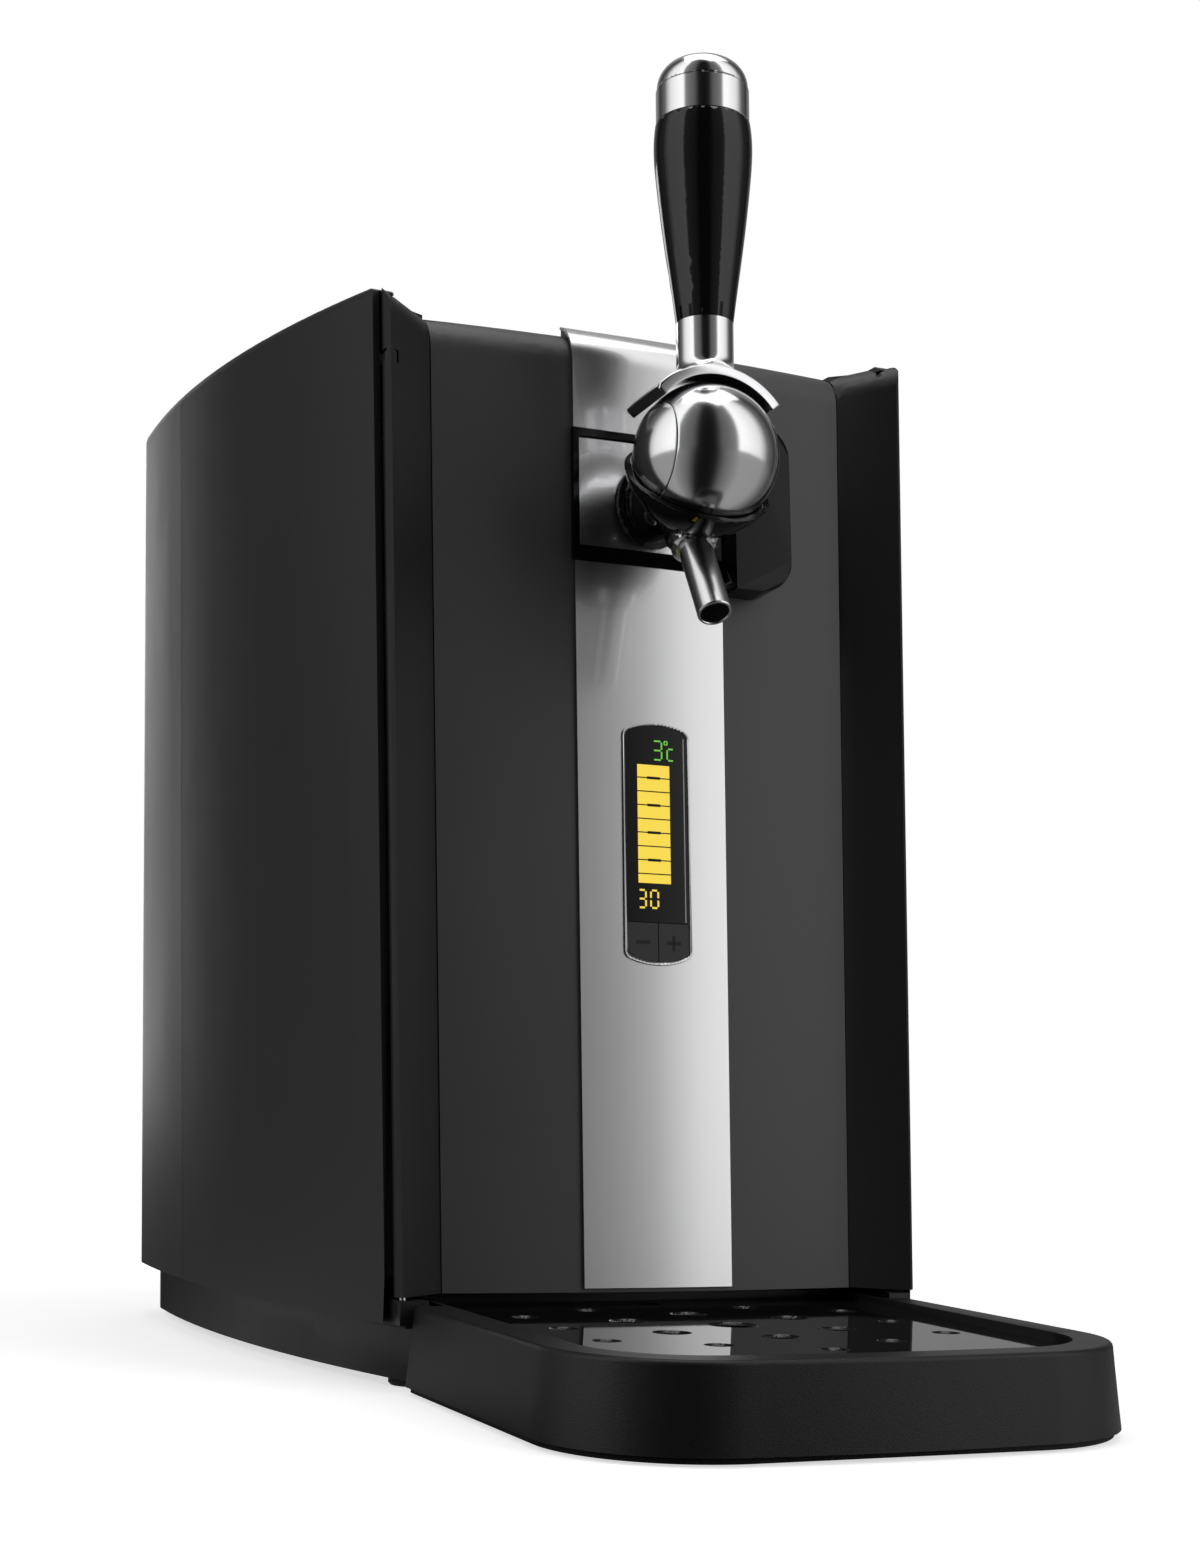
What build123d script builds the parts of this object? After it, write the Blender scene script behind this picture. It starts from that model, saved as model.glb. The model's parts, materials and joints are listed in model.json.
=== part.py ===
"""Mini keg beer dispenser: an upright cooler on a base, a leaning front door that carries
the tap, and a drip tray that slides in under the door.

Frame: origin on the floor under the middle of the overall box, +X to the right of someone
who faces the machine, -Y towards them, +Z up.  Millimetres.
"""

from build123d import *
from math import cos, pi, radians, sin, sqrt
import os

# ---- driving dimensions -------------------------------------------------------------

# body in plan: half widths at floor level, and runs back from the door's front corner
FRONT_HALF = 98.3
MID_HALF = 120.5
SIDE_HALF = 129.0
MID_RUN = 95.0
CORNER_RUN = 45.0
TRAY_REACH = 163.5
# growth of every width per mm of height, and how far front and back lean per mm
FLARE = 0.00023
RAKE = 0.083
BACK_RAKE = 0.06

# heights
FOOT_HEIGHT = 3.0
PLINTH_TOP = 22.0
BASE_TOP = 34.0
BODY_TOP = 391.0
TOP_ROUND = 5.0
DOOR_LOW = 31.0
PANEL_TOP = 386.0
ROLL = 16.0

# walls and gaps
SKIN = 2.5
GAP = 0.3
BASE_WALL = 3.0
PLINTH_INSET = 8.0
FOOT_RADIUS = 9.0
FOOT_SPREAD = 85.0
FOOT_RUN = 24.0
NOSE_SPREAD = 45.0
NOSE_RUN = 105.0
REAR_SEAM = 180.0
SEAM_ROUND = 19.0

# door
HINGE_INSET = 2.9
HINGE_RUN = 3.8
PANEL_START = 7.4
FIN_WIDTH = 19.7
PANEL_EDGE = 13.6
PANEL_CROWN = 8.3
PANEL_SKIN = 2.5
PANEL_GAP = 0.4
DOOR_BACK = 20.0
DOOR_CLEAR = 1.0
FLANK_INSET = 6.3
STRIP_HALF = 28.2
STRIP_PROUD = 1.2
STRIP_SKIN = 1.0
STRIP_RISE = 3.6
STRIP_FIT = 0.05
SEAL_DEPTH = 2.4
SEAL_LAP = 4.0
PLUG_HALF = 78.0
PLUG_DEPTH = 14.0
PLUG_LAP = 8.0
PIN_RADIUS = 1.2
PIN_FIT = 0.05
PIN_LOW = (24.0, 42.0)
PIN_HIGH = (354.0, 370.0)
KNUCKLE_TALL = 4.0
KNUCKLE_WALL = 1.05

# keg chamber
CHAMBER_RADIUS = 88.0
CHAMBER_CENTRE = 130.0
CHAMBER_LOW = 42.0
CHAMBER_HIGH = 335.0
SEAT_RADIUS = 80.0
SEAT_RISE = 2.0
PLATE_BORE = 3.0
LINER_WALL = 2.0
FLANGE = 1.5
FOAM_LOW = 36.0
FOAM_HIGH = 345.0
FOAM_CLEAR = 2.1

# tap
BALL_Z = 326.4
BALL_REACH = 51.0
BALL_RADIUS = 26.3
CAP_SHARE = 0.73
PULL = 40.0
LEVER_TILT = 0.063
AXLE_RADIUS = 3.0
YOKE_GAP = 0.5
YOKE_WALL = 4.0
SPOUT_RADIUS = 6.2
SPOUT_WALL = 1.1
SPOUT_TILT = 33.0
SPOUT_LENGTH = 41.0
COLLAR_RADIUS = 8.6
NECK_RADIUS = 10.4
GRIP_LOW = 49.5
GRIP_HIGH = 126.0
CAP_HIGH = 140.0
CROWN_HIGH = 152.0
CAP_RADIUS = 17.2
GRIP_RADIUS = 18.1
# shares of the way out from neck to grip, and of the way up
GRIP_SHAPE = ((0.0, 0.0), (0.506, 0.373), (0.896, 0.712), (1.0, 0.882), (0.922, 1.0))
# shares of the crown's radius and of its height
CROWN_SHAPE = ((1.0, 0.0), (0.976, 0.33), (0.766, 0.75), (0.389, 0.958), (0.006, 1.0))
CUP_GAP = 0.25
CUP_WALL = 2.8
CUP_TILT = 33.5
CUP_DROP = 8.0
ARM_Z = 318.0
ARM_HALF = 11.0
ARM_TALL = 13.8
ARM_LIP = 3.0
COLLAR_START = 2.0
COLLAR_LENGTH = 7.5
YOKE_FRONT = 12.0
YOKE_BACK = 16.0
YOKE_SPREAD = 52.0

# tap window and grip in the front strip
BAND_LOW = 295.0
BAND_HIGH = 300.5
WINDOW_TOP = 342.8
WINDOW_BAND = 346.0
WINDOW_INSET = 1.6
BAR_LAP = 0.7
GRIP_REACH = 54.0
GRIP_DROP = 8.0
GRIP_RISE = 7.0
GRIP_PROUD = 12.0
PULL_WALL = 2.6
PULL_CORNER = 13.0
BAND_PROUD = 0.5

# display
DISPLAY_Z = 190.4
DISPLAY_X = 1.0
DISPLAY_WIDTH = 25.0
DISPLAY_HEIGHT = 88.0
DISPLAY_PROUD = 2.0
BUTTON_TRAVEL = 1.0
BUTTON_HEIGHT = 14.5
ARCH = 3.0
CORNER = 2.4
BEZEL = 0.8
TUB_DEPTH = 2.4
TUB_FLOOR = 0.8

# drip tray
TRAY_HALF = 94.0
TRAY_CORNER = 47.0
TRAY_DRAFT = 2.6
TRAY_LOW = 2.6
TRAY_HIGH = 28.6
TRAY_RIM = 12.0
TRAY_WALL = 2.5
TRAY_TAIL = 36.0
TAIL_LAP = 2.0
BASIN_FLOOR = 8.6
LEDGE = 2.5
PLATE_TOP = 25.8
PLATE_SKIN = 2.4
HEX_PITCH = 34.6
HEX_RUN = -48.5
HOLE_DIAMETERS = (15.4, 11.2, 7.8)
HOLE_BEVEL = 0.9
TONGUE_HALF = 60.0

# cooler
FAN_SIZE = 70.0
FAN_THICK = 16.0
COOLER_Z = 190.0
SINK_WIDTH = 80.0
SINK_HEIGHT = 80.0
SINK_FINS = 14
FAN_BLADES = 7
COLD_WIDE = 60.0
COLD_TALL = 90.0
COLD_THICK = 12.0
CHIP_SIZE = 40.0
CHIP_THICK = 3.8
SINK_BASE = 5.0
SINK_REACH = 22.0
SINK_FIN = 1.4
FAN_RIM = 2.5
HUB_RADIUS = 13.0
BLADE_GAP = 1.0
BLADE_CHORD = 12.5
BLADE_THICK = 1.5
BLADE_TWIST = 32.0
SHAFT_RADIUS = 1.5
REAR_SPACE = 20.9
LOUVRE_PITCH = 8.8
LOUVRE_SLOT = 4.6
LOW_LOUVRES = 14
HIGH_LOUVRES = 4
LOW_START = 52.0
HIGH_START = 232.0
LOUVRE_WRAP = 40.0
LOUVRE_RUN = 34.0
LOUVRE_MID = 38.0
LOUVRE_WIDE = 66.0

# power inlet and switch in the rear cover
INLET_Z = 204.0
INLET_WIDE = 28.0
INLET_TALL = 20.0
SWITCH_X = 40.0
SWITCH_WIDE = 15.0
SWITCH_TILT = 6.0
ROCKER_HALF = 7.6

# what stands on the foam over the chamber
PUMP_X = -45.0
PUMP_RADIUS = 16.0
PUMP_LENGTH = 52.0
SUPPLY_X = 45.0
BOARD_X = -8.0

# sizes that follow from the ones above
PANEL_HALF = FRONT_HALF - FIN_WIDTH
DOOR_FLANK = FRONT_HALF - FLANK_INSET
CHAMBER_BACK = CHAMBER_CENTRE + CHAMBER_RADIUS + LINER_WALL + GAP
SINK_RUN = CHAMBER_BACK + COLD_THICK + CHIP_THICK
FOAM_BACK = SINK_RUN - FOAM_CLEAR
FAN_RUN = SINK_RUN + SINK_BASE + SINK_REACH
BODY_DEPTH = FAN_RUN + FAN_THICK + REAR_SPACE
SIDE_RUN = BODY_DEPTH - CORNER_RUN
GRIP_FOOT = BAND_LOW - GRIP_DROP
GRIP_HEAD = WINDOW_BAND + GRIP_RISE
TAIL_HALF = TRAY_HALF - TRAY_RIM + TAIL_LAP
COVER_FRONT = DOOR_BACK + DOOR_CLEAR
FAN_BORE = FAN_SIZE / 2 - FAN_RIM
PULL_LEFT = STRIP_HALF * (1 + FLARE * GRIP_HEAD) + GAP
LENS_LOW = BUTTON_HEIGHT - DISPLAY_HEIGHT / 2
PLUG_LOW = CHAMBER_LOW + PLUG_LAP
PLUG_HIGH = CHAMBER_HIGH - PLUG_LAP
CORE_HALF = CAP_SHARE * BALL_RADIUS
CAP_START = CORE_HALF + 0.2
AXLE_HALF = BALL_RADIUS - 3.0

# ---- frame --------------------------------------------------------------------------

rear_reach = BODY_DEPTH + BACK_RAKE * (BODY_TOP - TOP_ROUND)
front_y = (TRAY_REACH - rear_reach) / 2
inlet_y = front_y + BODY_DEPTH + BACK_RAKE * INLET_Z
os.makedirs("parts", exist_ok=True)


def save(piece, label):
    """Label a finished piece and write it as parts/label.step."""
    piece.label = label
    export_step(piece, f"parts/{label}.step")


def widen(z):
    """Share by which widths have grown at height z."""
    return 1 + FLARE * z


def at(z, x, y):
    """Point of a horizontal section at height z, y counted back from the leaning front."""
    return (x * widen(z), front_y + y + RAKE * z)


def front_point(x, y, z):
    """The same point in space."""
    return Vector(*at(z, x, y), z)


def lofted(outline, low, high):
    """Straight-sided solid between the same outline drawn at two heights."""
    with BuildPart() as solid:
        for z in (low, high):
            with BuildSketch(Plane.XY.offset(z)):
                with BuildLine():
                    outline(z)
                make_face()
        loft(ruled=True)
    return solid.part


def body_outline(inset, depth=BODY_DEPTH):
    """Plan of the body, inset mm inside its skin."""

    def draw(z):
        wide = widen(z)
        y0 = front_y + RAKE * z
        front = (FRONT_HALF * wide - inset, y0)
        middle = (MID_HALF * wide - inset, y0 + MID_RUN)
        rear_y = front_y + BACK_RAKE * z
        side = (SIDE_HALF * wide - inset, rear_y + SIDE_RUN)
        back = (SIDE_HALF * wide - depth + SIDE_RUN, rear_y + depth - inset)
        corner = (
            side[0] - (side[0] - back[0]) * (1 - sin(pi / 4)),
            side[1] + (back[1] - side[1]) * sin(pi / 4),
        )
        ThreePointArc(front, middle, side)
        ThreePointArc(side, corner, back)
        Line(back, (-back[0], back[1]))
        ThreePointArc((-back[0], back[1]), (-corner[0], corner[1]), (-side[0], side[1]))
        ThreePointArc((-side[0], side[1]), (-middle[0], middle[1]), (-front[0], front[1]))
        Line((-front[0], front[1]), front)

    return draw


def crown(x):
    """How far the door's crowned front lies behind its corner at x."""
    return PANEL_EDGE - (PANEL_EDGE - PANEL_CROWN) * (1 - (x / PANEL_HALF) ** 2)


def crowned(left, right, out, low, high, roll, back=2 * DOOR_BACK):
    """Form with the door's crowned front, out mm proud of it, and its top edge rolled back."""

    def draw(z):
        middle = (left + right) / 2
        front = [at(z, x, crown(x) - out) for x in (left, middle, right)]
        ThreePointArc(*front)
        Polyline(front[2], at(z, right, back), at(z, left, back), front[0])

    with BuildPart() as form:
        add(lofted(draw, low, high))
        if roll:
            fillet(edges().group_by(Axis.Z)[-1].sort_by(Axis.Y)[0], roll)
    return form.part


def leaning(y, low, high, depth):
    """Side-view slab behind the leaning plane at y, as a closed profile in Y and Z."""
    Polyline(
        (front_y + y + RAKE * low, low),
        (front_y + y + RAKE * high, high),
        (front_y + y + RAKE * high + depth, high),
        (front_y + y + RAKE * low + depth, low),
        close=True,
    )


# A plane on the door's front: x to the right, y up the slope, z out of the door.
slope = sqrt(1 + RAKE * RAKE)


def door_plane(z, out=0.0, y=PANEL_CROWN, x=0.0):
    """Plane on the leaning door at height z, out mm proud of the crowned front."""
    centre = front_point(x, y, z) + Vector(0, -out / slope, out * RAKE / slope)
    return Plane(origin=centre, x_dir=(1, 0, 0), z_dir=(0, -1 / slope, RAKE / slope))


# ---- skins of the body --------------------------------------------------------------

crest_edge = PANEL_HALF * widen(PANEL_TOP)
crest_top = FRONT_HALF * widen(BODY_TOP)


def crest(drop):
    """All that lies under the body's top: low in the middle and rising to the shoulders."""
    low, high = PANEL_TOP - drop, BODY_TOP - drop
    with BuildPart() as under:
        with BuildSketch(Plane.XZ):
            with BuildLine():
                right = [(2 * SIDE_HALF, 0), (2 * SIDE_HALF, high), (crest_top, high), (crest_edge, low)]
                left = [(-x, z) for x, z in reversed(right)]
                Polyline(*right, *left, close=True)
            make_face()
        extrude(amount=2 * BODY_DEPTH, both=True)
    return under.part


with BuildPart() as body_form:
    add(lofted(body_outline(0), PLINTH_TOP, BODY_TOP))
    fillet(edges().group_by(Axis.Z)[-1], TOP_ROUND)
    add(crest(0), mode=Mode.INTERSECT)
outer = body_form.part

with BuildPart() as body_room:
    add(lofted(body_outline(SKIN), PLINTH_TOP, BODY_TOP - SKIN))
    add(crest(SKIN), mode=Mode.INTERSECT)
inner = body_room.part


def side_panel(side):
    """One side wall with its top edge turned in, side 1 right and -1 left."""
    inner_edge = Plane.YZ.offset(side * (crest_edge + GAP / 2))
    with BuildPart() as panel:
        add(outer)
        add(inner, mode=Mode.SUBTRACT)
        with BuildSketch(inner_edge):
            with BuildLine():
                leaning(PANEL_START, 0, 2 * BODY_TOP, REAR_SEAM - PANEL_START)
            make_face()
        extrude(amount=side * SIDE_HALF, mode=Mode.INTERSECT)
        # the front of the top rolls down like the door's
        with BuildSketch(inner_edge):
            with BuildLine():
                leaning(0, 0, BODY_TOP, BODY_DEPTH)
            make_face()
            fillet(vertices().group_by(Axis.Y)[-1].sort_by(Axis.X)[0], SEAM_ROUND)
        extrude(amount=side * SIDE_HALF, mode=Mode.INTERSECT)
        # the door's flank passes ahead of the turned-in top
        with BuildSketch(Plane.YZ):
            with BuildLine():
                leaning(-DOOR_BACK, 0, 2 * BODY_TOP, DOOR_BACK + COVER_FRONT)
            make_face()
        extrude(amount=side * (DOOR_FLANK + DOOR_CLEAR) * widen(BODY_TOP), mode=Mode.SUBTRACT)
    return panel.part


hinge_foot = front_point(HINGE_INSET - FRONT_HALF, HINGE_RUN, 0)
hinge_head = front_point(HINGE_INSET - FRONT_HALF, HINGE_RUN, BODY_TOP)
hinge_line = (hinge_head - hinge_foot).normalized()


def hinge_plane(z):
    """Plane square to the hinge line where it passes height z."""
    centre = front_point(HINGE_INSET - FRONT_HALF, HINGE_RUN, z)
    return Plane(origin=centre, x_dir=(1, 0, -hinge_line.X / hinge_line.Z), z_dir=hinge_line)


knuckle_z = (PIN_HIGH[0] + PIN_HIGH[1] - KNUCKLE_TALL) / 2
knuckle_radius = PIN_RADIUS + KNUCKLE_WALL
arm_half = knuckle_radius - PIN_FIT
arm_foot = HINGE_INSET + 0.7 * SKIN

with BuildPart() as left_side_panel:
    add(side_panel(-1))
    # knuckle for the upper hinge pin, on an arm from the wall's front edge
    with BuildSketch(hinge_plane(knuckle_z)):
        Circle(knuckle_radius)
        with Locations((0, (PANEL_START - HINGE_RUN) / 2)):
            Rectangle(2 * arm_half, PANEL_START - HINGE_RUN)
        with Locations(((arm_half - arm_foot) / 2, PANEL_START - HINGE_RUN + SKIN / 2)):
            Rectangle(arm_half + arm_foot, SKIN)
    extrude(amount=KNUCKLE_TALL)
    with BuildSketch(hinge_plane(PIN_HIGH[0])):
        Circle(PIN_RADIUS)
    extrude(amount=PIN_HIGH[1] - PIN_HIGH[0], mode=Mode.SUBTRACT)
save(left_side_panel.part, "left_side_panel")

with BuildPart() as right_side_panel:
    add(side_panel(1))
save(right_side_panel.part, "right_side_panel")

# Rear cover: the back of the body with its louvres.
with BuildPart() as rear_cover:
    add(outer)
    add(inner, mode=Mode.SUBTRACT)
    with BuildSketch(Plane.YZ):
        with BuildLine():
            leaning(REAR_SEAM + GAP, PLINTH_TOP, BODY_TOP, BODY_DEPTH)
        make_face()
    extrude(amount=2 * SIDE_HALF, both=True, mode=Mode.INTERSECT)
    louvres = [LOUVRE_PITCH * i + LOW_START for i in range(LOW_LOUVRES)]
    louvres += [LOUVRE_PITCH * i + HIGH_START for i in range(HIGH_LOUVRES)]
    rows = [(front_y + BODY_DEPTH + BACK_RAKE * z, z) for z in louvres]
    corner_x = SIDE_HALF - 8
    with Locations(*[(side * corner_x, y, z) for side in (-1, 1) for y, z in rows]):
        Box(2 * LOUVRE_WRAP, 2 * LOUVRE_RUN, LOUVRE_SLOT, mode=Mode.SUBTRACT)
    with Locations(*[(side * LOUVRE_MID, y, z) for side in (-1, 1) for y, z in rows]):
        Box(LOUVRE_WIDE, 4 * SKIN, LOUVRE_SLOT, mode=Mode.SUBTRACT)
    with Locations((0, inlet_y, INLET_Z)):
        Box(INLET_WIDE, 6 * SKIN, INLET_TALL, mode=Mode.SUBTRACT)
    with Locations((SWITCH_X, inlet_y, INLET_Z)):
        Box(SWITCH_WIDE, 6 * SKIN, INLET_TALL, mode=Mode.SUBTRACT)
save(rear_cover.part, "rear_cover")

# Top cover: the plate that carries the door's rolled top back between the side panels,
# with a lip down behind the door.
cover_half = PANEL_HALF - PANEL_GAP
with BuildPart() as top_cover:
    add(crowned(-cover_half, cover_half, 0, FOAM_HIGH + GAP, PANEL_TOP, ROLL, REAR_SEAM - GAP))
    with BuildSketch(Plane.YZ):
        with BuildLine():
            leaning(-DOOR_BACK, 0, 2 * BODY_TOP, DOOR_BACK + COVER_FRONT)
        make_face()
    extrude(amount=2 * SIDE_HALF, both=True, mode=Mode.SUBTRACT)
    with BuildSketch(Plane.YZ):
        with BuildLine():
            leaning(COVER_FRONT + SKIN, FOAM_HIGH, PANEL_TOP - SKIN, REAR_SEAM)
        make_face()
    extrude(amount=2 * SIDE_HALF, both=True, mode=Mode.SUBTRACT)
save(top_cover.part, "top_cover")

# ---- base ---------------------------------------------------------------------------

plinth = lofted(body_outline(PLINTH_INSET), FOOT_HEIGHT, PLINTH_TOP)
collar = lofted(body_outline(SKIN + GAP), PLINTH_TOP - 1, BASE_TOP)
hollow = lofted(body_outline(PLINTH_INSET + BASE_WALL), FOOT_HEIGHT + BASE_WALL, BASE_TOP + 1)
slot_y = front_y + TRAY_TAIL + 6

with BuildPart() as base_pan:
    add(plinth)
    add(collar)
    add(hollow, mode=Mode.SUBTRACT)
    # the front is cut back to the door line and closed again behind the tray's tail
    with Locations((0, slot_y - 80, BASE_TOP / 2 + FOOT_HEIGHT + BASE_WALL)):
        Box(2 * TAIL_HALF + 4, 160, BASE_TOP, mode=Mode.SUBTRACT)
    with Locations((0, slot_y + BASE_WALL / 2, (FOOT_HEIGHT + BASE_TOP) / 2)):
        Box(2 * FRONT_HALF, BASE_WALL, BASE_TOP - FOOT_HEIGHT)
    with Locations((0, front_y - 50 + 1.5, BASE_TOP / 2)):
        Box(3 * FRONT_HALF, 100, 2 * BASE_TOP, mode=Mode.SUBTRACT)
    # lug for the lower hinge pin
    lug_top = DOOR_LOW - DOOR_CLEAR
    with Locations((5 - FRONT_HALF, front_y + (PANEL_START + 1.2) / 2, (PLINTH_TOP + lug_top) / 2)):
        Box(10, PANEL_START - 1.8, lug_top - PLINTH_TOP)
    with BuildSketch(hinge_plane(PIN_LOW[0])):
        Circle(PIN_RADIUS)
    extrude(amount=PIN_LOW[1] - PIN_LOW[0], mode=Mode.SUBTRACT)
    # room for the door's lower edge
    with BuildSketch(Plane.YZ):
        with BuildLine():
            leaning(-1, lug_top, BASE_TOP + 1, DOOR_BACK + 1.5)
        make_face()
    extrude(amount=SIDE_HALF, both=True, mode=Mode.SUBTRACT)
    # tongue under the drip tray
    with Locations((0, front_y - 50, FOOT_HEIGHT + BASE_WALL / 2)):
        Box(2 * TONGUE_HALF, 140, BASE_WALL)
save(base_pan.part, "base_pan")

foot_places = [(x, front_y + run) for x in (-FOOT_SPREAD, FOOT_SPREAD) for run in (FOOT_RUN, SIDE_RUN)]
foot_places += [(x, front_y - NOSE_RUN) for x in (-NOSE_SPREAD, NOSE_SPREAD)]

with BuildPart() as rubber_feet:
    with BuildSketch(Plane.XY):
        with Locations(*foot_places):
            Circle(FOOT_RADIUS)
    extrude(amount=FOOT_HEIGHT)
    chamfer(edges().group_by(Axis.Z)[0], 0.8)
save(rubber_feet.part, "rubber_feet")

# ---- keg chamber --------------------------------------------------------------------

chamber_y = front_y + CHAMBER_CENTRE
front_run = DOOR_BACK + SEAL_DEPTH + GAP / 2


def chamber_form(radius, low, high):
    """Upright bay with a round back, run well forward of the door."""
    with BuildPart() as bay:
        with BuildSketch(Plane.XY.offset(low)):
            with Locations((0, chamber_y)):
                Circle(radius)
            with Locations((0, chamber_y - CHAMBER_CENTRE)):
                Rectangle(2 * radius, 2 * CHAMBER_CENTRE)
        extrude(amount=high - low)
    return bay.part


def trim_front(y, low=0.0, high=BODY_TOP):
    """Everything ahead of the leaning plane at y."""
    with BuildPart() as ahead:
        with BuildSketch(Plane.YZ):
            with BuildLine():
                leaning(y - BODY_DEPTH, low, high, BODY_DEPTH)
            make_face()
        extrude(amount=2 * SIDE_HALF, both=True)
    return ahead.part


def rear_block(inset, low, high, front, back):
    """Block of the body's plan between two leaning planes."""
    with BuildPart() as block:
        add(lofted(body_outline(inset), low, high))
        with BuildSketch(Plane.YZ):
            with BuildLine():
                leaning(front, low, high, back - front)
            make_face()
        extrude(amount=2 * SIDE_HALF, both=True, mode=Mode.INTERSECT)
    return block.part


bay_wall = chamber_form(CHAMBER_RADIUS + LINER_WALL, CHAMBER_LOW - LINER_WALL, CHAMBER_HIGH + LINER_WALL)
bay = chamber_form(CHAMBER_RADIUS, CHAMBER_LOW, CHAMBER_HIGH)

with BuildPart() as chamber_liner:
    add(bay_wall)
    add(trim_front(front_run + FLANGE / 2), mode=Mode.SUBTRACT)
    add(rear_block(SKIN + 2 * GAP, FOAM_LOW, FOAM_HIGH, front_run, front_run + FLANGE))
    add(bay, mode=Mode.SUBTRACT)
    # round seat for the keg on the floor
    with Locations((0, chamber_y, CHAMBER_LOW + SEAT_RISE / 2)):
        Cylinder(SEAT_RADIUS, SEAT_RISE)
    # hole for the cold plate's sensor in the round back
    with Locations((0, chamber_y + CHAMBER_RADIUS, COOLER_Z)):
        Cylinder(PLATE_BORE, 10 * LINER_WALL, rotation=(90, 0, 0), mode=Mode.SUBTRACT)
save(chamber_liner.part, "chamber_liner")

FOAM_FRONT = front_run + FLANGE + GAP
plate_y = chamber_y + CHAMBER_RADIUS + LINER_WALL + GAP

with BuildPart() as foam_jacket:
    add(lofted(body_outline(SKIN + 2 * GAP), FOAM_LOW, FOAM_HIGH))
    with BuildSketch(Plane.YZ):
        with BuildLine():
            Polyline(
                (front_y + FOAM_FRONT + RAKE * FOAM_LOW, FOAM_LOW),
                (front_y + FOAM_FRONT + RAKE * FOAM_HIGH, FOAM_HIGH),
                (front_y + FOAM_BACK, FOAM_HIGH),
                (front_y + FOAM_BACK, FOAM_LOW),
                close=True,
            )
        make_face()
    extrude(amount=2 * SIDE_HALF, both=True, mode=Mode.INTERSECT)
    add(chamber_form(CHAMBER_RADIUS + LINER_WALL + GAP, CHAMBER_LOW - LINER_WALL - GAP,
                     CHAMBER_HIGH + LINER_WALL + GAP), mode=Mode.SUBTRACT)
    with Locations((0, plate_y + 25, COOLER_Z)):
        Box(COLD_WIDE + 2 * GAP, 80, COLD_TALL + 2 * GAP, mode=Mode.SUBTRACT)
save(foam_jacket.part, "foam_jacket")

# ---- cooling unit behind the chamber ------------------------------------------------

with BuildPart() as cold_plate:
    with Locations((0, plate_y + COLD_THICK / 2, COOLER_Z)):
        Box(COLD_WIDE, COLD_THICK, COLD_TALL)
    with Locations((0, chamber_y, COOLER_Z)):
        Cylinder(CHAMBER_RADIUS + LINER_WALL + GAP, 2 * COLD_TALL, mode=Mode.SUBTRACT)
save(cold_plate.part, "cold_plate")

chip_y = plate_y + COLD_THICK
with BuildPart() as peltier_module:
    with Locations((0, chip_y + CHIP_THICK / 2, COOLER_Z)):
        Box(CHIP_SIZE, CHIP_THICK, CHIP_SIZE)
save(peltier_module.part, "peltier_module")

sink_y = chip_y + CHIP_THICK
with BuildPart() as heat_sink:
    with Locations((0, sink_y + SINK_BASE / 2, COOLER_Z)):
        Box(SINK_WIDTH, SINK_BASE, SINK_HEIGHT)
    with Locations((0, sink_y + SINK_BASE + SINK_REACH / 2, COOLER_Z)):
        with GridLocations((SINK_WIDTH - SINK_FIN) / (SINK_FINS - 1), 1, SINK_FINS, 1):
            Box(SINK_FIN, SINK_REACH, SINK_HEIGHT)
save(heat_sink.part, "heat_sink")

fan_y = sink_y + SINK_BASE + SINK_REACH
fan_plane = Plane(origin=(0, fan_y, COOLER_Z), x_dir=(1, 0, 0), z_dir=(0, 1, 0))

with BuildPart() as fan_frame:
    with BuildSketch(fan_plane):
        RectangleRounded(FAN_SIZE, FAN_SIZE, 4)
        Circle(FAN_BORE, mode=Mode.SUBTRACT)
    extrude(amount=FAN_THICK)
    # spider that carries the motor at the outlet side
    with BuildSketch(fan_plane.offset(FAN_THICK - 2)):
        Circle(HUB_RADIUS)
        for turn in (45, 135):
            with Locations(Rotation(0, 0, turn)):
                Rectangle(2 * FAN_BORE + 2, 3)
    extrude(amount=2)
    with BuildSketch(fan_plane.offset(FAN_THICK - 8)):
        Circle(SHAFT_RADIUS)
    extrude(amount=7)
save(fan_frame.part, "fan_frame")

with BuildPart() as fan_rotor:
    with BuildSketch(fan_plane.offset(1)):
        Circle(HUB_RADIUS)
    extrude(amount=FAN_THICK - 2 - 1 - 0.5)
    for i in range(FAN_BLADES):
        turn = 360 / FAN_BLADES * i
        blade = Plane(
            origin=fan_plane.from_local_coords((HUB_RADIUS - 1.5) * Vector(1, 0, 0).rotate(Axis.Z, turn)
                                               + Vector(0, 0, FAN_THICK / 2 - 0.8)),
            x_dir=fan_plane.from_local_coords(Vector(0, 1, 0).rotate(Axis.Z, turn)) - fan_plane.origin,
            z_dir=fan_plane.from_local_coords(Vector(1, 0, 0).rotate(Axis.Z, turn)) - fan_plane.origin,
        )
        with BuildSketch(blade):
            with Locations(Rotation(0, 0, BLADE_TWIST)):
                Rectangle(BLADE_CHORD, BLADE_THICK)
        extrude(amount=FAN_BORE - BLADE_GAP - HUB_RADIUS + 0.5)
    with BuildSketch(fan_plane):
        Circle(SHAFT_RADIUS + PIN_FIT)
    extrude(amount=FAN_THICK, mode=Mode.SUBTRACT)
save(fan_rotor.part, "fan_rotor")

# ---- service space: pump, boards and supply above and behind the chamber ------------

deck_z = FOAM_HIGH
pump_y = front_y + 130.0

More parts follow.
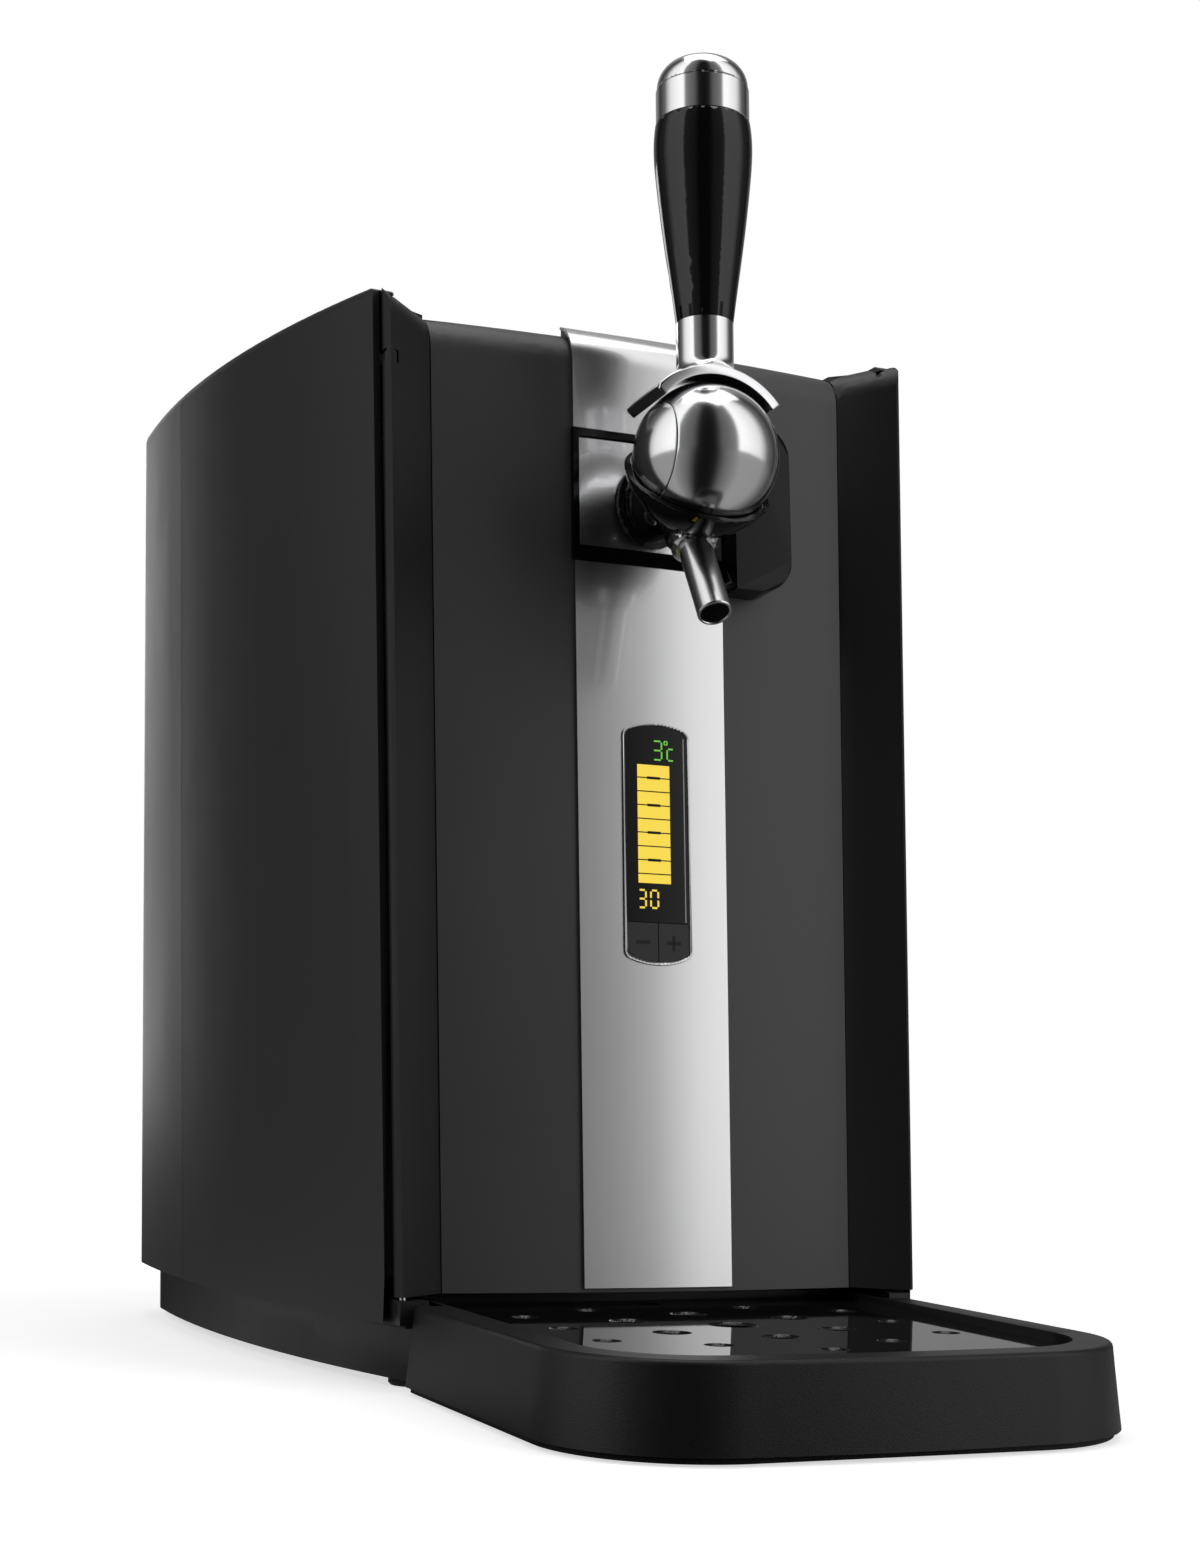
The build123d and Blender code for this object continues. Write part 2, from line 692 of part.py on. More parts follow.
with BuildPart() as air_pump:
    with Locations((PUMP_X, pump_y, deck_z + PUMP_RADIUS + GAP)):
        Cylinder(PUMP_RADIUS, PUMP_LENGTH, rotation=(90, 0, 0))
        with Locations((0, -PUMP_LENGTH / 2 - 6, 0)):
            Cylinder(3, 12, rotation=(90, 0, 0))
    with Locations((PUMP_X, pump_y, deck_z + GAP + 2)):
        Box(40, PUMP_LENGTH - 10, 4)
save(air_pump.part, "air_pump")

with BuildPart() as power_supply:
    with Locations((SUPPLY_X, pump_y + 20, deck_z + GAP + 16)):
        Box(62, 100, 32)
        fillet(edges().filter_by(Axis.Z), 2)
save(power_supply.part, "power_supply")

with BuildPart() as control_board:
    with Locations((BOARD_X, pump_y + 25, deck_z + GAP + 4)):
        Box(34, 92, 1.6)
    with Locations((BOARD_X, pump_y + 25, deck_z + GAP + 1.6)):
        with GridLocations(26, 84, 2, 2):
            Cylinder(2.2, 3.2)
    with Locations((BOARD_X, pump_y + 25, deck_z + GAP + 8)):
        with GridLocations(14, 24, 2, 3):
            Box(9, 12, 7)
save(control_board.part, "control_board")

# ---- power inlet and switch ---------------------------------------------------------

inlet_plane = Plane(origin=(0, inlet_y, INLET_Z), x_dir=(-1, 0, 0), z_dir=(0, 1, 0))
with BuildPart() as power_inlet:
    with BuildSketch(inlet_plane.offset(-16)):
        Rectangle(INLET_WIDE - 2 * GAP, INLET_TALL - 2 * GAP)
    extrude(amount=16.5)
    fillet(edges().group_by(Axis.Y)[-1], 1.2)
    with BuildSketch(inlet_plane.offset(0.5)):
        RectangleRounded(20, 12, 3)
    extrude(amount=-13, mode=Mode.SUBTRACT)
    with BuildSketch(inlet_plane.offset(-13)):
        with GridLocations(9, 1, 2, 1):
            Circle(1.2)
    extrude(amount=9)
save(power_inlet.part, "power_inlet")

with BuildPart() as switch_frame:
    with BuildSketch(inlet_plane.offset(-12)):
        with Locations((-SWITCH_X, 0)):
            Rectangle(SWITCH_WIDE - 2 * GAP, INLET_TALL - 2 * GAP)
    extrude(amount=12.8)
    with BuildSketch(inlet_plane.offset(0.8)):
        with Locations((-SWITCH_X, 0)):
            Rectangle(SWITCH_WIDE - 4, 2 * ROCKER_HALF + 1.2)
    extrude(amount=-11, mode=Mode.SUBTRACT)
save(switch_frame.part, "switch_frame")

rocker_y = inlet_y - 3.0
rocker_plane = Plane(
    origin=(SWITCH_X - (SWITCH_WIDE - 5) / 2, rocker_y, INLET_Z),
    x_dir=(0, cos(radians(SWITCH_TILT)), sin(radians(SWITCH_TILT))),
    z_dir=(1, 0, 0),
)
with BuildPart() as power_rocker:
    with BuildSketch(rocker_plane):
        with BuildLine():
            Polyline(
                (4.2, 1.2 - ROCKER_HALF), (2.6, 0), (4.2, ROCKER_HALF - 1.2),
                (-2.0, ROCKER_HALF - 1.2), (-4.0, 0), (-2.0, 1.2 - ROCKER_HALF),
                close=True,
            )
        make_face()
    extrude(amount=SWITCH_WIDE - 5)
save(power_rocker.part, "power_rocker")

# ---- door ---------------------------------------------------------------------------


def door_outline(z):
    """Plan of the door's frame, with a fin at each side of the panel's seat."""
    seat = PANEL_EDGE + PANEL_SKIN + GAP / 2
    crown = PANEL_CROWN + PANEL_SKIN + GAP / 2
    right = [
        (PANEL_HALF, seat),
        (PANEL_HALF, PANEL_EDGE),
        (FRONT_HALF - HINGE_RUN / 2, 0),
        (FRONT_HALF, HINGE_RUN / 2),
        (FRONT_HALF, HINGE_RUN),
    ]
    flank = HINGE_RUN + HINGE_INSET
    for side in (1, -1):
        Polyline(*[at(z, side * x, y) for x, y in right])
        ThreePointArc(
            at(z, side * FRONT_HALF, HINGE_RUN),
            at(z, side * (FRONT_HALF - HINGE_INSET * (1 - sin(pi / 4))),
               HINGE_RUN + HINGE_INSET * sin(pi / 4)),
            at(z, side * (FRONT_HALF - HINGE_INSET), flank),
        )
        Polyline(
            at(z, side * (FRONT_HALF - HINGE_INSET), flank),
            at(z, side * DOOR_FLANK, flank),
            at(z, side * DOOR_FLANK, DOOR_BACK),
        )
    Line(at(z, DOOR_FLANK, DOOR_BACK), at(z, -DOOR_FLANK, DOOR_BACK))
    ThreePointArc(at(z, -PANEL_HALF, seat), at(z, 0, crown), at(z, PANEL_HALF, seat))


def fin_room(side):
    """All behind a fin's slanted face and under its rolled top."""

    def draw(z):
        run = 1.5 * (FRONT_HALF - HINGE_RUN / 2 - PANEL_HALF)
        near = PANEL_EDGE - PIN_FIT
        Polyline(
            at(z, side * PANEL_HALF, near),
            at(z, side * (PANEL_HALF + run), near - 1.5 * PANEL_EDGE),
            at(z, side * (PANEL_HALF + run), 3 * DOOR_BACK),
            at(z, side * PANEL_HALF, 3 * DOOR_BACK),
            close=True,
        )

    climb = (BODY_TOP - PANEL_TOP) / (crest_top - crest_edge)
    far = 2 * SIDE_HALF
    with BuildPart() as room:
        add(lofted(draw, 0, 2 * BODY_TOP))
        with BuildSketch(Plane.XZ):
            with BuildLine():
                Polyline(
                    (0, 0), (side * far, 0), (side * far, PANEL_TOP + climb * (far - crest_edge)),
                    (0, PANEL_TOP - climb * crest_edge), close=True,
                )
            make_face()
        extrude(amount=2 * BODY_DEPTH, both=True, mode=Mode.INTERSECT)
        fillet(faces().sort_by(Axis.Z)[-1].edges().sort_by(Axis.Y)[0], ROLL)
    return room.part


with BuildPart() as door_frame:
    # room for the panel's seat and for the two fins beside it
    seat_drop = PANEL_SKIN + GAP / 2
    half = PANEL_HALF + 1
    add(crowned(-half, half, -seat_drop, 0, PANEL_TOP - seat_drop, ROLL - seat_drop))
    add(fin_room(-1))
    add(fin_room(1))
    add(lofted(door_outline, DOOR_LOW, BODY_TOP), mode=Mode.INTERSECT)
    for low, high in (PIN_LOW, PIN_HIGH):
        with BuildSketch(hinge_plane(low)):
            Circle(PIN_RADIUS + PIN_FIT)
        extrude(amount=high - low, mode=Mode.SUBTRACT)
    # notch in the left fin for the knuckle and for its arm's swing
    notch, reach = knuckle_radius + GAP, HINGE_INSET + 1
    with BuildSketch(hinge_plane(knuckle_z - GAP)):
        with Locations(((notch - reach) / 2, (reach - notch) / 2)):
            Rectangle(notch + reach, notch + reach)
    extrude(amount=KNUCKLE_TALL + 2 * GAP, mode=Mode.SUBTRACT)
save(door_frame.part, "door_frame")


def crowned_skin(left, right, out, thick, low, high, roll=0.0):
    """Sheet with the door's crowned front, out mm proud of it."""
    with BuildPart() as sheet:
        add(crowned(left, right, out, low, high, roll))
        room = high - thick if roll else high + 1
        inner_roll = max(roll - thick, 0)
        add(crowned(left - 1, right + 1, out - thick, low - 1, room, inner_roll, 3 * DOOR_BACK),
            mode=Mode.SUBTRACT)
        add(trim_front(DOOR_BACK), mode=Mode.INTERSECT)
    return sheet.part


def display_outline(grow):
    """Display outline with arched ends, drawn about its middle."""
    half, tall = DISPLAY_WIDTH / 2 + grow, DISPLAY_HEIGHT / 2 + grow
    with BuildSketch() as shape:
        with BuildLine():
            ThreePointArc((-half, tall - ARCH), (0, tall), (half, tall - ARCH))
            Line((half, tall - ARCH), (half, ARCH - tall))
            ThreePointArc((half, ARCH - tall), (0, -tall), (-half, ARCH - tall))
            Line((-half, ARCH - tall), (-half, tall - ARCH))
        make_face()
        fillet(vertices(), CORNER + grow)
    return shape.sketch


display_face = door_plane(DISPLAY_Z, x=DISPLAY_X)


def display_hole():
    """What the display takes out of the panel and the strip."""
    with BuildPart() as hole:
        with BuildSketch(display_face.offset(-2 * PANEL_SKIN)):
            add(display_outline(BEZEL + GAP / 2))
        extrude(amount=4 * PANEL_SKIN)
    return hole.part


with BuildPart() as door_panel:
    half = PANEL_HALF - PANEL_GAP
    add(crowned_skin(-half, half, 0, PANEL_SKIN, DOOR_LOW, PANEL_TOP, ROLL))
    add(display_hole(), mode=Mode.SUBTRACT)
save(door_panel.part, "door_panel")

strip_low = DOOR_LOW + 1.5
with BuildPart() as front_strip:
    add(crowned_skin(-STRIP_HALF, STRIP_HALF, STRIP_PROUD, STRIP_SKIN, strip_low, BAND_LOW - GAP))
    add(display_hole(), mode=Mode.SUBTRACT)
save(front_strip.part, "front_strip")

window_left = WINDOW_INSET + GAP - STRIP_HALF
window_low, window_high = BAND_HIGH + GAP, WINDOW_TOP - GAP
window_plate = crowned_skin(window_left, STRIP_HALF, STRIP_PROUD, STRIP_SKIN, window_low, window_high)
save(window_plate, "window_plate")

# Top strip: wraps back over the rolled top of the door, raised on a carrier.
top_low = WINDOW_BAND + GAP
strip_top = PANEL_TOP + STRIP_RISE
top_strip = crowned_skin(-STRIP_HALF, STRIP_HALF, STRIP_PROUD, STRIP_SKIN, top_low, strip_top, ROLL)
save(top_strip, "top_strip")

with BuildPart() as strip_carrier:
    drop = STRIP_SKIN + STRIP_FIT
    half = STRIP_HALF - GAP
    add(crowned(-half, half, STRIP_PROUD - drop, top_low, strip_top - drop, ROLL - drop))
    under = PANEL_TOP + STRIP_FIT
    add(crowned(-PANEL_HALF, PANEL_HALF, STRIP_FIT, 0, under, ROLL + STRIP_FIT, 3 * DOOR_BACK),
        mode=Mode.SUBTRACT)
    add(trim_front(DOOR_BACK), mode=Mode.INTERSECT)
save(strip_carrier.part, "strip_carrier")

# Tap frame: two bands and a bar round the window, and a D-shaped pull at the right of it.
frame_z = (BAND_LOW + WINDOW_BAND) / 2
frame_plane = door_plane(frame_z)
frame_half = STRIP_HALF * widen(frame_z)
bar_left = -frame_half - BAR_LAP
bar_right = WINDOW_INSET - frame_half


def up(z):
    """Distance up the door's slope from the middle of the tap frame."""
    return (z - frame_z) * slope


def pull_outline(grow):
    """D-shaped outline of the pull, rounded at its right."""
    left, right = PULL_LEFT - grow, GRIP_REACH + grow
    low, high = up(GRIP_FOOT) - grow, up(GRIP_HEAD) + grow
    with BuildSketch() as shape:
        with BuildLine():
            FilletPolyline(
                (left, low), (right, low), (right, high), (left, high),
                radius=PULL_CORNER + grow,
            )
            Line((left, high), (left, low))
        make_face()
    return shape.sketch


with BuildPart() as tap_frame:
    with BuildSketch(frame_plane.offset(-4)):
        for low, high in ((BAND_LOW, BAND_HIGH), (WINDOW_TOP, WINDOW_BAND)):
            with Locations(((PULL_LEFT + 1 + bar_left) / 2, up((low + high) / 2))):
                Rectangle(PULL_LEFT + 1 - bar_left, up(high) - up(low))
        with Locations(((bar_left + bar_right) / 2, 0)):
            Rectangle(bar_right - bar_left, up(WINDOW_BAND) - up(BAND_LOW))
    extrude(amount=4 + STRIP_PROUD + BAND_PROUD)
    with BuildSketch(frame_plane.offset(-6)):
        add(pull_outline(0))
    extrude(amount=6 + GRIP_PROUD)
    # the pull is hollow and open at the right, for the fingers
    with BuildSketch(frame_plane.offset(-6)):
        add(pull_outline(-PULL_WALL))
    extrude(amount=6 + GRIP_PROUD - PULL_WALL, mode=Mode.SUBTRACT)
    with BuildSketch(frame_plane.offset(-6)):
        with Locations((GRIP_REACH, 0)):
            Rectangle(4 * PULL_WALL, up(GRIP_HEAD) - up(GRIP_FOOT) - 2 * PULL_CORNER)
    extrude(amount=6 + GRIP_PROUD - PULL_WALL, mode=Mode.SUBTRACT)
    # the window stays clear and the back follows the panel
    with BuildSketch(frame_plane.offset(-6)):
        with Locations(((bar_right + PULL_LEFT) / 2, up((BAND_HIGH + WINDOW_TOP) / 2))):
            Rectangle(PULL_LEFT - bar_right, up(WINDOW_TOP) - up(BAND_HIGH))
    extrude(amount=6 + GRIP_PROUD, mode=Mode.SUBTRACT)
    add(crowned(-PANEL_HALF, PANEL_HALF, STRIP_FIT, 0, PANEL_TOP, 0), mode=Mode.SUBTRACT)
save(tap_frame.part, "tap_frame")

# ---- display ------------------------------------------------------------------------

with BuildPart() as display_bezel:
    with BuildSketch(display_face.offset(-TUB_DEPTH)):
        add(display_outline(BEZEL))
    extrude(amount=TUB_DEPTH + DISPLAY_PROUD)
    with BuildSketch(display_face.offset(TUB_FLOOR - TUB_DEPTH)):
        add(display_outline(0))
    extrude(amount=10, mode=Mode.SUBTRACT)
save(display_bezel.part, "display_bezel")


def display_piece(low, high, left, right, back, front, shrink=0.15):
    """Part of the display outline between two heights and two sides."""
    with BuildPart() as piece:
        with BuildSketch(display_face.offset(back)):
            add(display_outline(-shrink))
            with Locations(((left + right) / 2, (low + high) / 2)):
                Rectangle(right - left, high - low, mode=Mode.INTERSECT)
        extrude(amount=front - back)
    return piece.part


half_tall = DISPLAY_HEIGHT / 2
half_wide = DISPLAY_WIDTH / 2
board = display_piece(LENS_LOW, half_tall, -half_wide, half_wide, 0.1 - 1.6, -0.7)
save(board, "display_board")
lens = display_piece(LENS_LOW + GAP, half_tall, -half_wide, half_wide, -0.6, DISPLAY_PROUD - 0.2)
save(lens, "display_lens")
for label, left, right in (("minus_button", -half_wide, -GAP / 2), ("plus_button", GAP / 2, half_wide)):
    button = display_piece(-half_tall, LENS_LOW, left, right, -0.4, DISPLAY_PROUD - 0.3, 0.2)
    save(button, label)

# ---- inside of the door -------------------------------------------------------------

with BuildPart() as door_seal:
    add(rear_block(0, FOAM_LOW + 2, FOAM_HIGH - 2, DOOR_BACK + 0.05, DOOR_BACK + SEAL_DEPTH))
    with BuildSketch(Plane.XZ.offset(-BODY_DEPTH)):
        with Locations((0, (FOAM_LOW + FOAM_HIGH) / 2)):
            Rectangle(2 * (DOOR_FLANK - 1), 2 * FOAM_HIGH)
    extrude(amount=3 * BODY_DEPTH, mode=Mode.INTERSECT)
    with BuildSketch(Plane.XZ.offset(-BODY_DEPTH)):
        with Locations((0, (CHAMBER_LOW + CHAMBER_HIGH) / 2)):
            Rectangle(2 * CHAMBER_RADIUS - 8, CHAMBER_HIGH - CHAMBER_LOW - 8)
    extrude(amount=3 * BODY_DEPTH, mode=Mode.SUBTRACT)
save(door_seal.part, "door_seal")

with BuildPart() as door_liner:
    add(rear_block(0, PLUG_LOW, PLUG_HIGH, DOOR_BACK + 0.05, DOOR_BACK + PLUG_DEPTH))
    with BuildSketch(Plane.XZ.offset(-BODY_DEPTH)):
        with Locations((0, (PLUG_LOW + PLUG_HIGH) / 2)):
            Rectangle(2 * PLUG_HALF, 2 * PLUG_HIGH)
    extrude(amount=3 * BODY_DEPTH, mode=Mode.INTERSECT)
save(door_liner.part, "door_liner")

for label, (low, high) in (("lower_hinge_pin", PIN_LOW), ("upper_hinge_pin", PIN_HIGH)):
    with BuildPart() as hinge_pin:
        with BuildSketch(hinge_plane(low + 0.5)):
            Circle(PIN_RADIUS)
        extrude(amount=high - low - 1)
    save(hinge_pin.part, label)

# ---- tap ----------------------------------------------------------------------------

ball = front_point(0, PANEL_CROWN, BALL_Z) - Vector(0, BALL_REACH, 0)
cup_outer = BALL_RADIUS + CUP_GAP + CUP_WALL


def sphere_at(radius):
    """Ball about the tap's centre."""
    with BuildPart() as form:
        with Locations(ball):
            Sphere(radius)
    return form.part


def rim_at(x):
    """Radius of the ball's surface at x from its centre."""
    return sqrt(BALL_RADIUS**2 - x**2)


with BuildPart() as tap_core:
    with BuildSketch(Plane(origin=ball, x_dir=(1, 0, 0), z_dir=(0, 0, 1))):
        with BuildLine():
            bore = AXLE_RADIUS + PIN_FIT
            ThreePointArc((-CORE_HALF, rim_at(CORE_HALF)), (0, BALL_RADIUS), (CORE_HALF, rim_at(CORE_HALF)))
            Polyline(
                (CORE_HALF, rim_at(CORE_HALF)), (CORE_HALF, bore),
                (-CORE_HALF, bore), (-CORE_HALF, rim_at(CORE_HALF)),
            )
        make_face()
    revolve(axis=Axis(ball, (1, 0, 0)))
save(tap_core.part, "tap_core")

spout_line = Vector(0, -sin(radians(SPOUT_TILT)), -cos(radians(SPOUT_TILT)))
spout_root = ball + Vector(0, 12.5, -24.5)
spout_plane = Plane(origin=spout_root, x_dir=(1, 0, 0), z_dir=spout_line)
cup_plane = Plane(origin=ball, x_dir=(1, 0, 0),
                  z_dir=(0, -sin(radians(CUP_TILT)), cos(radians(CUP_TILT))))

with BuildPart() as tap_cup:
    add(sphere_at(cup_outer))
    with BuildSketch(cup_plane.offset(-CUP_DROP)):
        Rectangle(4 * BALL_RADIUS, 4 * BALL_RADIUS)
    extrude(amount=3 * BALL_RADIUS, mode=Mode.SUBTRACT)
    with BuildSketch(spout_plane.offset(-14)):
        Circle(COLLAR_RADIUS + 1.2)
    extrude(amount=14 + COLLAR_START)
    add(sphere_at(BALL_RADIUS + CUP_GAP), mode=Mode.SUBTRACT)
save(tap_cup.part, "tap_cup")

arm_plane = door_plane(ARM_Z)
with BuildPart() as tap_arm:
    with BuildSketch(arm_plane.offset(STRIP_PROUD + 0.1)):
        Ellipse(ARM_HALF + ARM_LIP, ARM_TALL + ARM_LIP)
    extrude(amount=3.0)
    with BuildSketch(arm_plane.offset(STRIP_PROUD + 0.1)):
        Ellipse(ARM_HALF, ARM_TALL)
    extrude(amount=BALL_REACH)
    add(sphere_at(cup_outer + 0.05), mode=Mode.SUBTRACT)
    with BuildSketch(spout_plane.offset(-20)):
        Circle(COLLAR_RADIUS + 1.25)
    extrude(amount=24 + COLLAR_START, mode=Mode.SUBTRACT)
    with BuildSketch(cup_plane.offset(-CUP_DROP)):
        Rectangle(4 * BALL_RADIUS, 2 * BALL_RADIUS)
    extrude(amount=3 * BALL_RADIUS, mode=Mode.SUBTRACT)
save(tap_arm.part, "tap_arm")

with BuildPart() as spout_collar:
    with BuildSketch(spout_plane.offset(COLLAR_START + 0.05)):
        Circle(COLLAR_RADIUS)
    extrude(amount=COLLAR_LENGTH)
    chamfer(edges().filter_by(GeomType.CIRCLE).sort_by(Axis.Z)[0], 1.4)
    with BuildSketch(spout_plane.offset(COLLAR_START)):
        Circle(SPOUT_RADIUS + PIN_FIT)
    extrude(amount=2 * COLLAR_LENGTH, mode=Mode.SUBTRACT)
    add(sphere_at(cup_outer + 0.05), mode=Mode.SUBTRACT)
save(spout_collar.part, "spout_collar")

# The tube runs up through the collar to the cup.
spout_start = COLLAR_START + PIN_FIT
with BuildPart() as spout:
    with BuildSketch(spout_plane.offset(spout_start)):
        Circle(SPOUT_RADIUS)
        Circle(SPOUT_RADIUS - SPOUT_WALL, mode=Mode.SUBTRACT)
    extrude(amount=SPOUT_LENGTH - spout_start)
    add(sphere_at(cup_outer + PIN_FIT), mode=Mode.SUBTRACT)
save(spout.part, "spout")

# ---- lever --------------------------------------------------------------------------

lever_line = Vector(0, sin(LEVER_TILT), cos(LEVER_TILT))
lever_plane = Plane(origin=ball, x_dir=(1, 0, 0), z_dir=(0, -cos(LEVER_TILT), sin(LEVER_TILT)))
lever_axis = Axis(ball, lever_line)
yoke_inner = BALL_RADIUS + YOKE_GAP
yoke_outer = yoke_inner + YOKE_WALL

for label, side in (("left_side_cap", -1), ("right_side_cap", 1)):
    with BuildPart() as side_cap:
        with BuildSketch(Plane(origin=ball, x_dir=(side, 0, 0), z_dir=(0, 0, side))):
            with BuildLine():
                bend = (CAP_START + BALL_RADIUS) / 2
                ThreePointArc((CAP_START, rim_at(CAP_START)), (bend, rim_at(bend)), (BALL_RADIUS, 0))
                Polyline(
                    (BALL_RADIUS, 0), (AXLE_HALF, 0), (AXLE_HALF, AXLE_RADIUS),
                    (CAP_START, AXLE_RADIUS), (CAP_START, rim_at(CAP_START)),
                )
            make_face()
        revolve(axis=Axis(ball, (1, 0, 0)))
    save(side_cap.part, label)

with BuildPart() as lever_axle:
    with Locations(ball):
        Cylinder(AXLE_RADIUS, 2 * AXLE_HALF - 0.2, rotation=(0, 90, 0))
save(lever_axle.part, "lever_axle")

with BuildPart() as lever_yoke:
    with BuildSketch(lever_plane.offset(-YOKE_BACK)):
        Circle(yoke_outer)
        Circle(yoke_inner, mode=Mode.SUBTRACT)
        reach = 2 * yoke_outer
        with BuildLine():
            Polyline(
                (0, 0),
                (reach * sin(radians(YOKE_SPREAD)), reach * cos(radians(YOKE_SPREAD))),
                (0, 3 * reach),
                (-reach * sin(radians(YOKE_SPREAD)), reach * cos(radians(YOKE_SPREAD))),
                close=True,
            )
        make_face(mode=Mode.INTERSECT)
    extrude(amount=YOKE_FRONT + YOKE_BACK)
    chamfer(edges().filter_by(GeomType.CIRCLE).sort_by(SortBy.LENGTH)[-2:], 1.0)
save(lever_yoke.part, "lever_yoke")


def turned(points, label, curve=False, saddle=False):
    """Round piece on the lever's line from (radius, height) points."""
    with BuildPart() as piece:
        with BuildSketch(lever_plane):
            with BuildLine():
                if curve:
                    Spline(*points)
                else:
                    Polyline(*points)
                Polyline(points[-1], (0, points[-1][1]), (0, points[0][1]), points[0])
            make_face()
        revolve(axis=lever_axis)
        if saddle:
            with BuildSketch(lever_plane.offset(-2 * BALL_RADIUS)):
                Circle(yoke_outer + 0.02)
            extrude(amount=4 * BALL_RADIUS, mode=Mode.SUBTRACT)
    save(piece.part, label)


turned([(NECK_RADIUS, yoke_inner), (NECK_RADIUS, GRIP_LOW - 0.1)], "lever_neck", saddle=True)
grip_grow, grip_tall = GRIP_RADIUS - NECK_RADIUS, GRIP_HIGH - GRIP_LOW
grip_points = [(NECK_RADIUS + grip_grow * out, GRIP_LOW + grip_tall * rise) for out, rise in GRIP_SHAPE]
turned(grip_points, "handle_grip", curve=True)
turned([(CAP_RADIUS, GRIP_HIGH + PIN_FIT), (CAP_RADIUS, CAP_HIGH)], "handle_cap")
crown_low, crown_radius = CAP_HIGH + 2 * PIN_FIT, CAP_RADIUS - 0.5
crown_tall = CROWN_HIGH - crown_low
crown_points = [(crown_radius * out, crown_low + crown_tall * rise) for out, rise in CROWN_SHAPE]
turned(crown_points, "handle_crown", curve=True)

# ---- drip tray ----------------------------------------------------------------------


def tray_outline(inset, tail=0.0):
    """Plan of the tray's front part: straight sides, round corners, a slightly bowed front."""

    def draw(z):
        grow = (TRAY_HIGH - z) / (TRAY_HIGH - TRAY_LOW) * TRAY_DRAFT - inset
        half, corner = TRAY_HALF + grow, TRAY_CORNER + grow
        rear, bow = front_y - 1 + tail, 2.0
        nose = front_y - TRAY_REACH + TRAY_DRAFT + bow - grow
        bend = corner * (1 - sin(pi / 4))
        Line((-half, rear), (half, rear))
        Line((half, rear), (half, nose + corner))
        ThreePointArc((half, nose + corner), (half - bend, nose + bend), (half - corner, nose))
        ThreePointArc((half - corner, nose), (0, nose - bow), (corner - half, nose))
        ThreePointArc((corner - half, nose), (bend - half, nose + bend), (-half, nose + corner))
        Line((-half, nose + corner), (-half, rear))

    return draw


plate_low = PLATE_TOP - PLATE_SKIN
with BuildPart() as drip_tray:
    add(lofted(tray_outline(0), TRAY_LOW, TRAY_HIGH))
    fillet(edges().group_by(Axis.Z)[-1].sort_by(Axis.Y)[:5], 1.6)
    with Locations((0, front_y + TRAY_TAIL / 2 - 1, (BASIN_FLOOR - TRAY_WALL + TRAY_HIGH) / 2 + 0.1)):
        Box(2 * TAIL_HALF, TRAY_TAIL + 2, TRAY_HIGH - BASIN_FLOOR + TRAY_WALL - 0.2)
    add(lofted(tray_outline(TRAY_RIM, TRAY_TAIL - 1), plate_low, TRAY_HIGH + 1), mode=Mode.SUBTRACT)
    add(lofted(tray_outline(TRAY_RIM + LEDGE, TRAY_TAIL - 1 - LEDGE), BASIN_FLOOR, plate_low + 1),
        mode=Mode.SUBTRACT)
    add(lofted(tray_outline(TRAY_WALL, 1), TRAY_LOW - 1, BASIN_FLOOR - TRAY_WALL), mode=Mode.SUBTRACT)
save(drip_tray.part, "drip_tray")

with BuildPart() as drip_plate:
    add(lofted(tray_outline(TRAY_RIM + 0.5, TRAY_TAIL - 1.6), plate_low + 0.1, PLATE_TOP))
    middle = Location((0, front_y + HEX_RUN, PLATE_TOP))
    rings = [
        [Location((0, 0, 0))],
        PolarLocations(HEX_PITCH, 6, start_angle=90).local_locations,
        PolarLocations(2 * HEX_PITCH, 6, start_angle=90).local_locations
        + PolarLocations(sqrt(3) * HEX_PITCH, 6, start_angle=60).local_locations,
    ]
    for diameter, ring in zip(HOLE_DIAMETERS, rings):
        with Locations(*[middle * place for place in ring]):
            CounterSinkHole(diameter / 2, diameter / 2 + HOLE_BEVEL, 10, 90)
save(drip_plate.part, "drip_plate")
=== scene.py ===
"""The look of a mini keg beer dispenser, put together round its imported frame, in metres."""
import json
from math import atan2, cos, pi, radians, sin

import bpy
from mathutils import Matrix, Vector


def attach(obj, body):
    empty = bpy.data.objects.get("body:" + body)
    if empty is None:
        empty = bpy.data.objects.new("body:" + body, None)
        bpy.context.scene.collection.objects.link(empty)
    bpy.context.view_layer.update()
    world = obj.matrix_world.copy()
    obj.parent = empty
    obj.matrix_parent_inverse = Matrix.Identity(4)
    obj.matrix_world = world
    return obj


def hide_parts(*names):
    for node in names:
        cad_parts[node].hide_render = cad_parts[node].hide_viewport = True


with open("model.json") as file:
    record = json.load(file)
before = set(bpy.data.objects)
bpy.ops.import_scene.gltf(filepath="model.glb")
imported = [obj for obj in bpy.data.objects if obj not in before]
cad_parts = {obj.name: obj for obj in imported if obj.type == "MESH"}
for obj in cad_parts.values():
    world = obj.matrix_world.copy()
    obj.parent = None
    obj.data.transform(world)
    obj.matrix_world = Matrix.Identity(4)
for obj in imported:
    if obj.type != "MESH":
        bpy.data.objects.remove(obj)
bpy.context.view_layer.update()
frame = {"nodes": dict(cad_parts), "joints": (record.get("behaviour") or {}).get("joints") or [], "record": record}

bpy.ops.object.select_all(action="DESELECT")

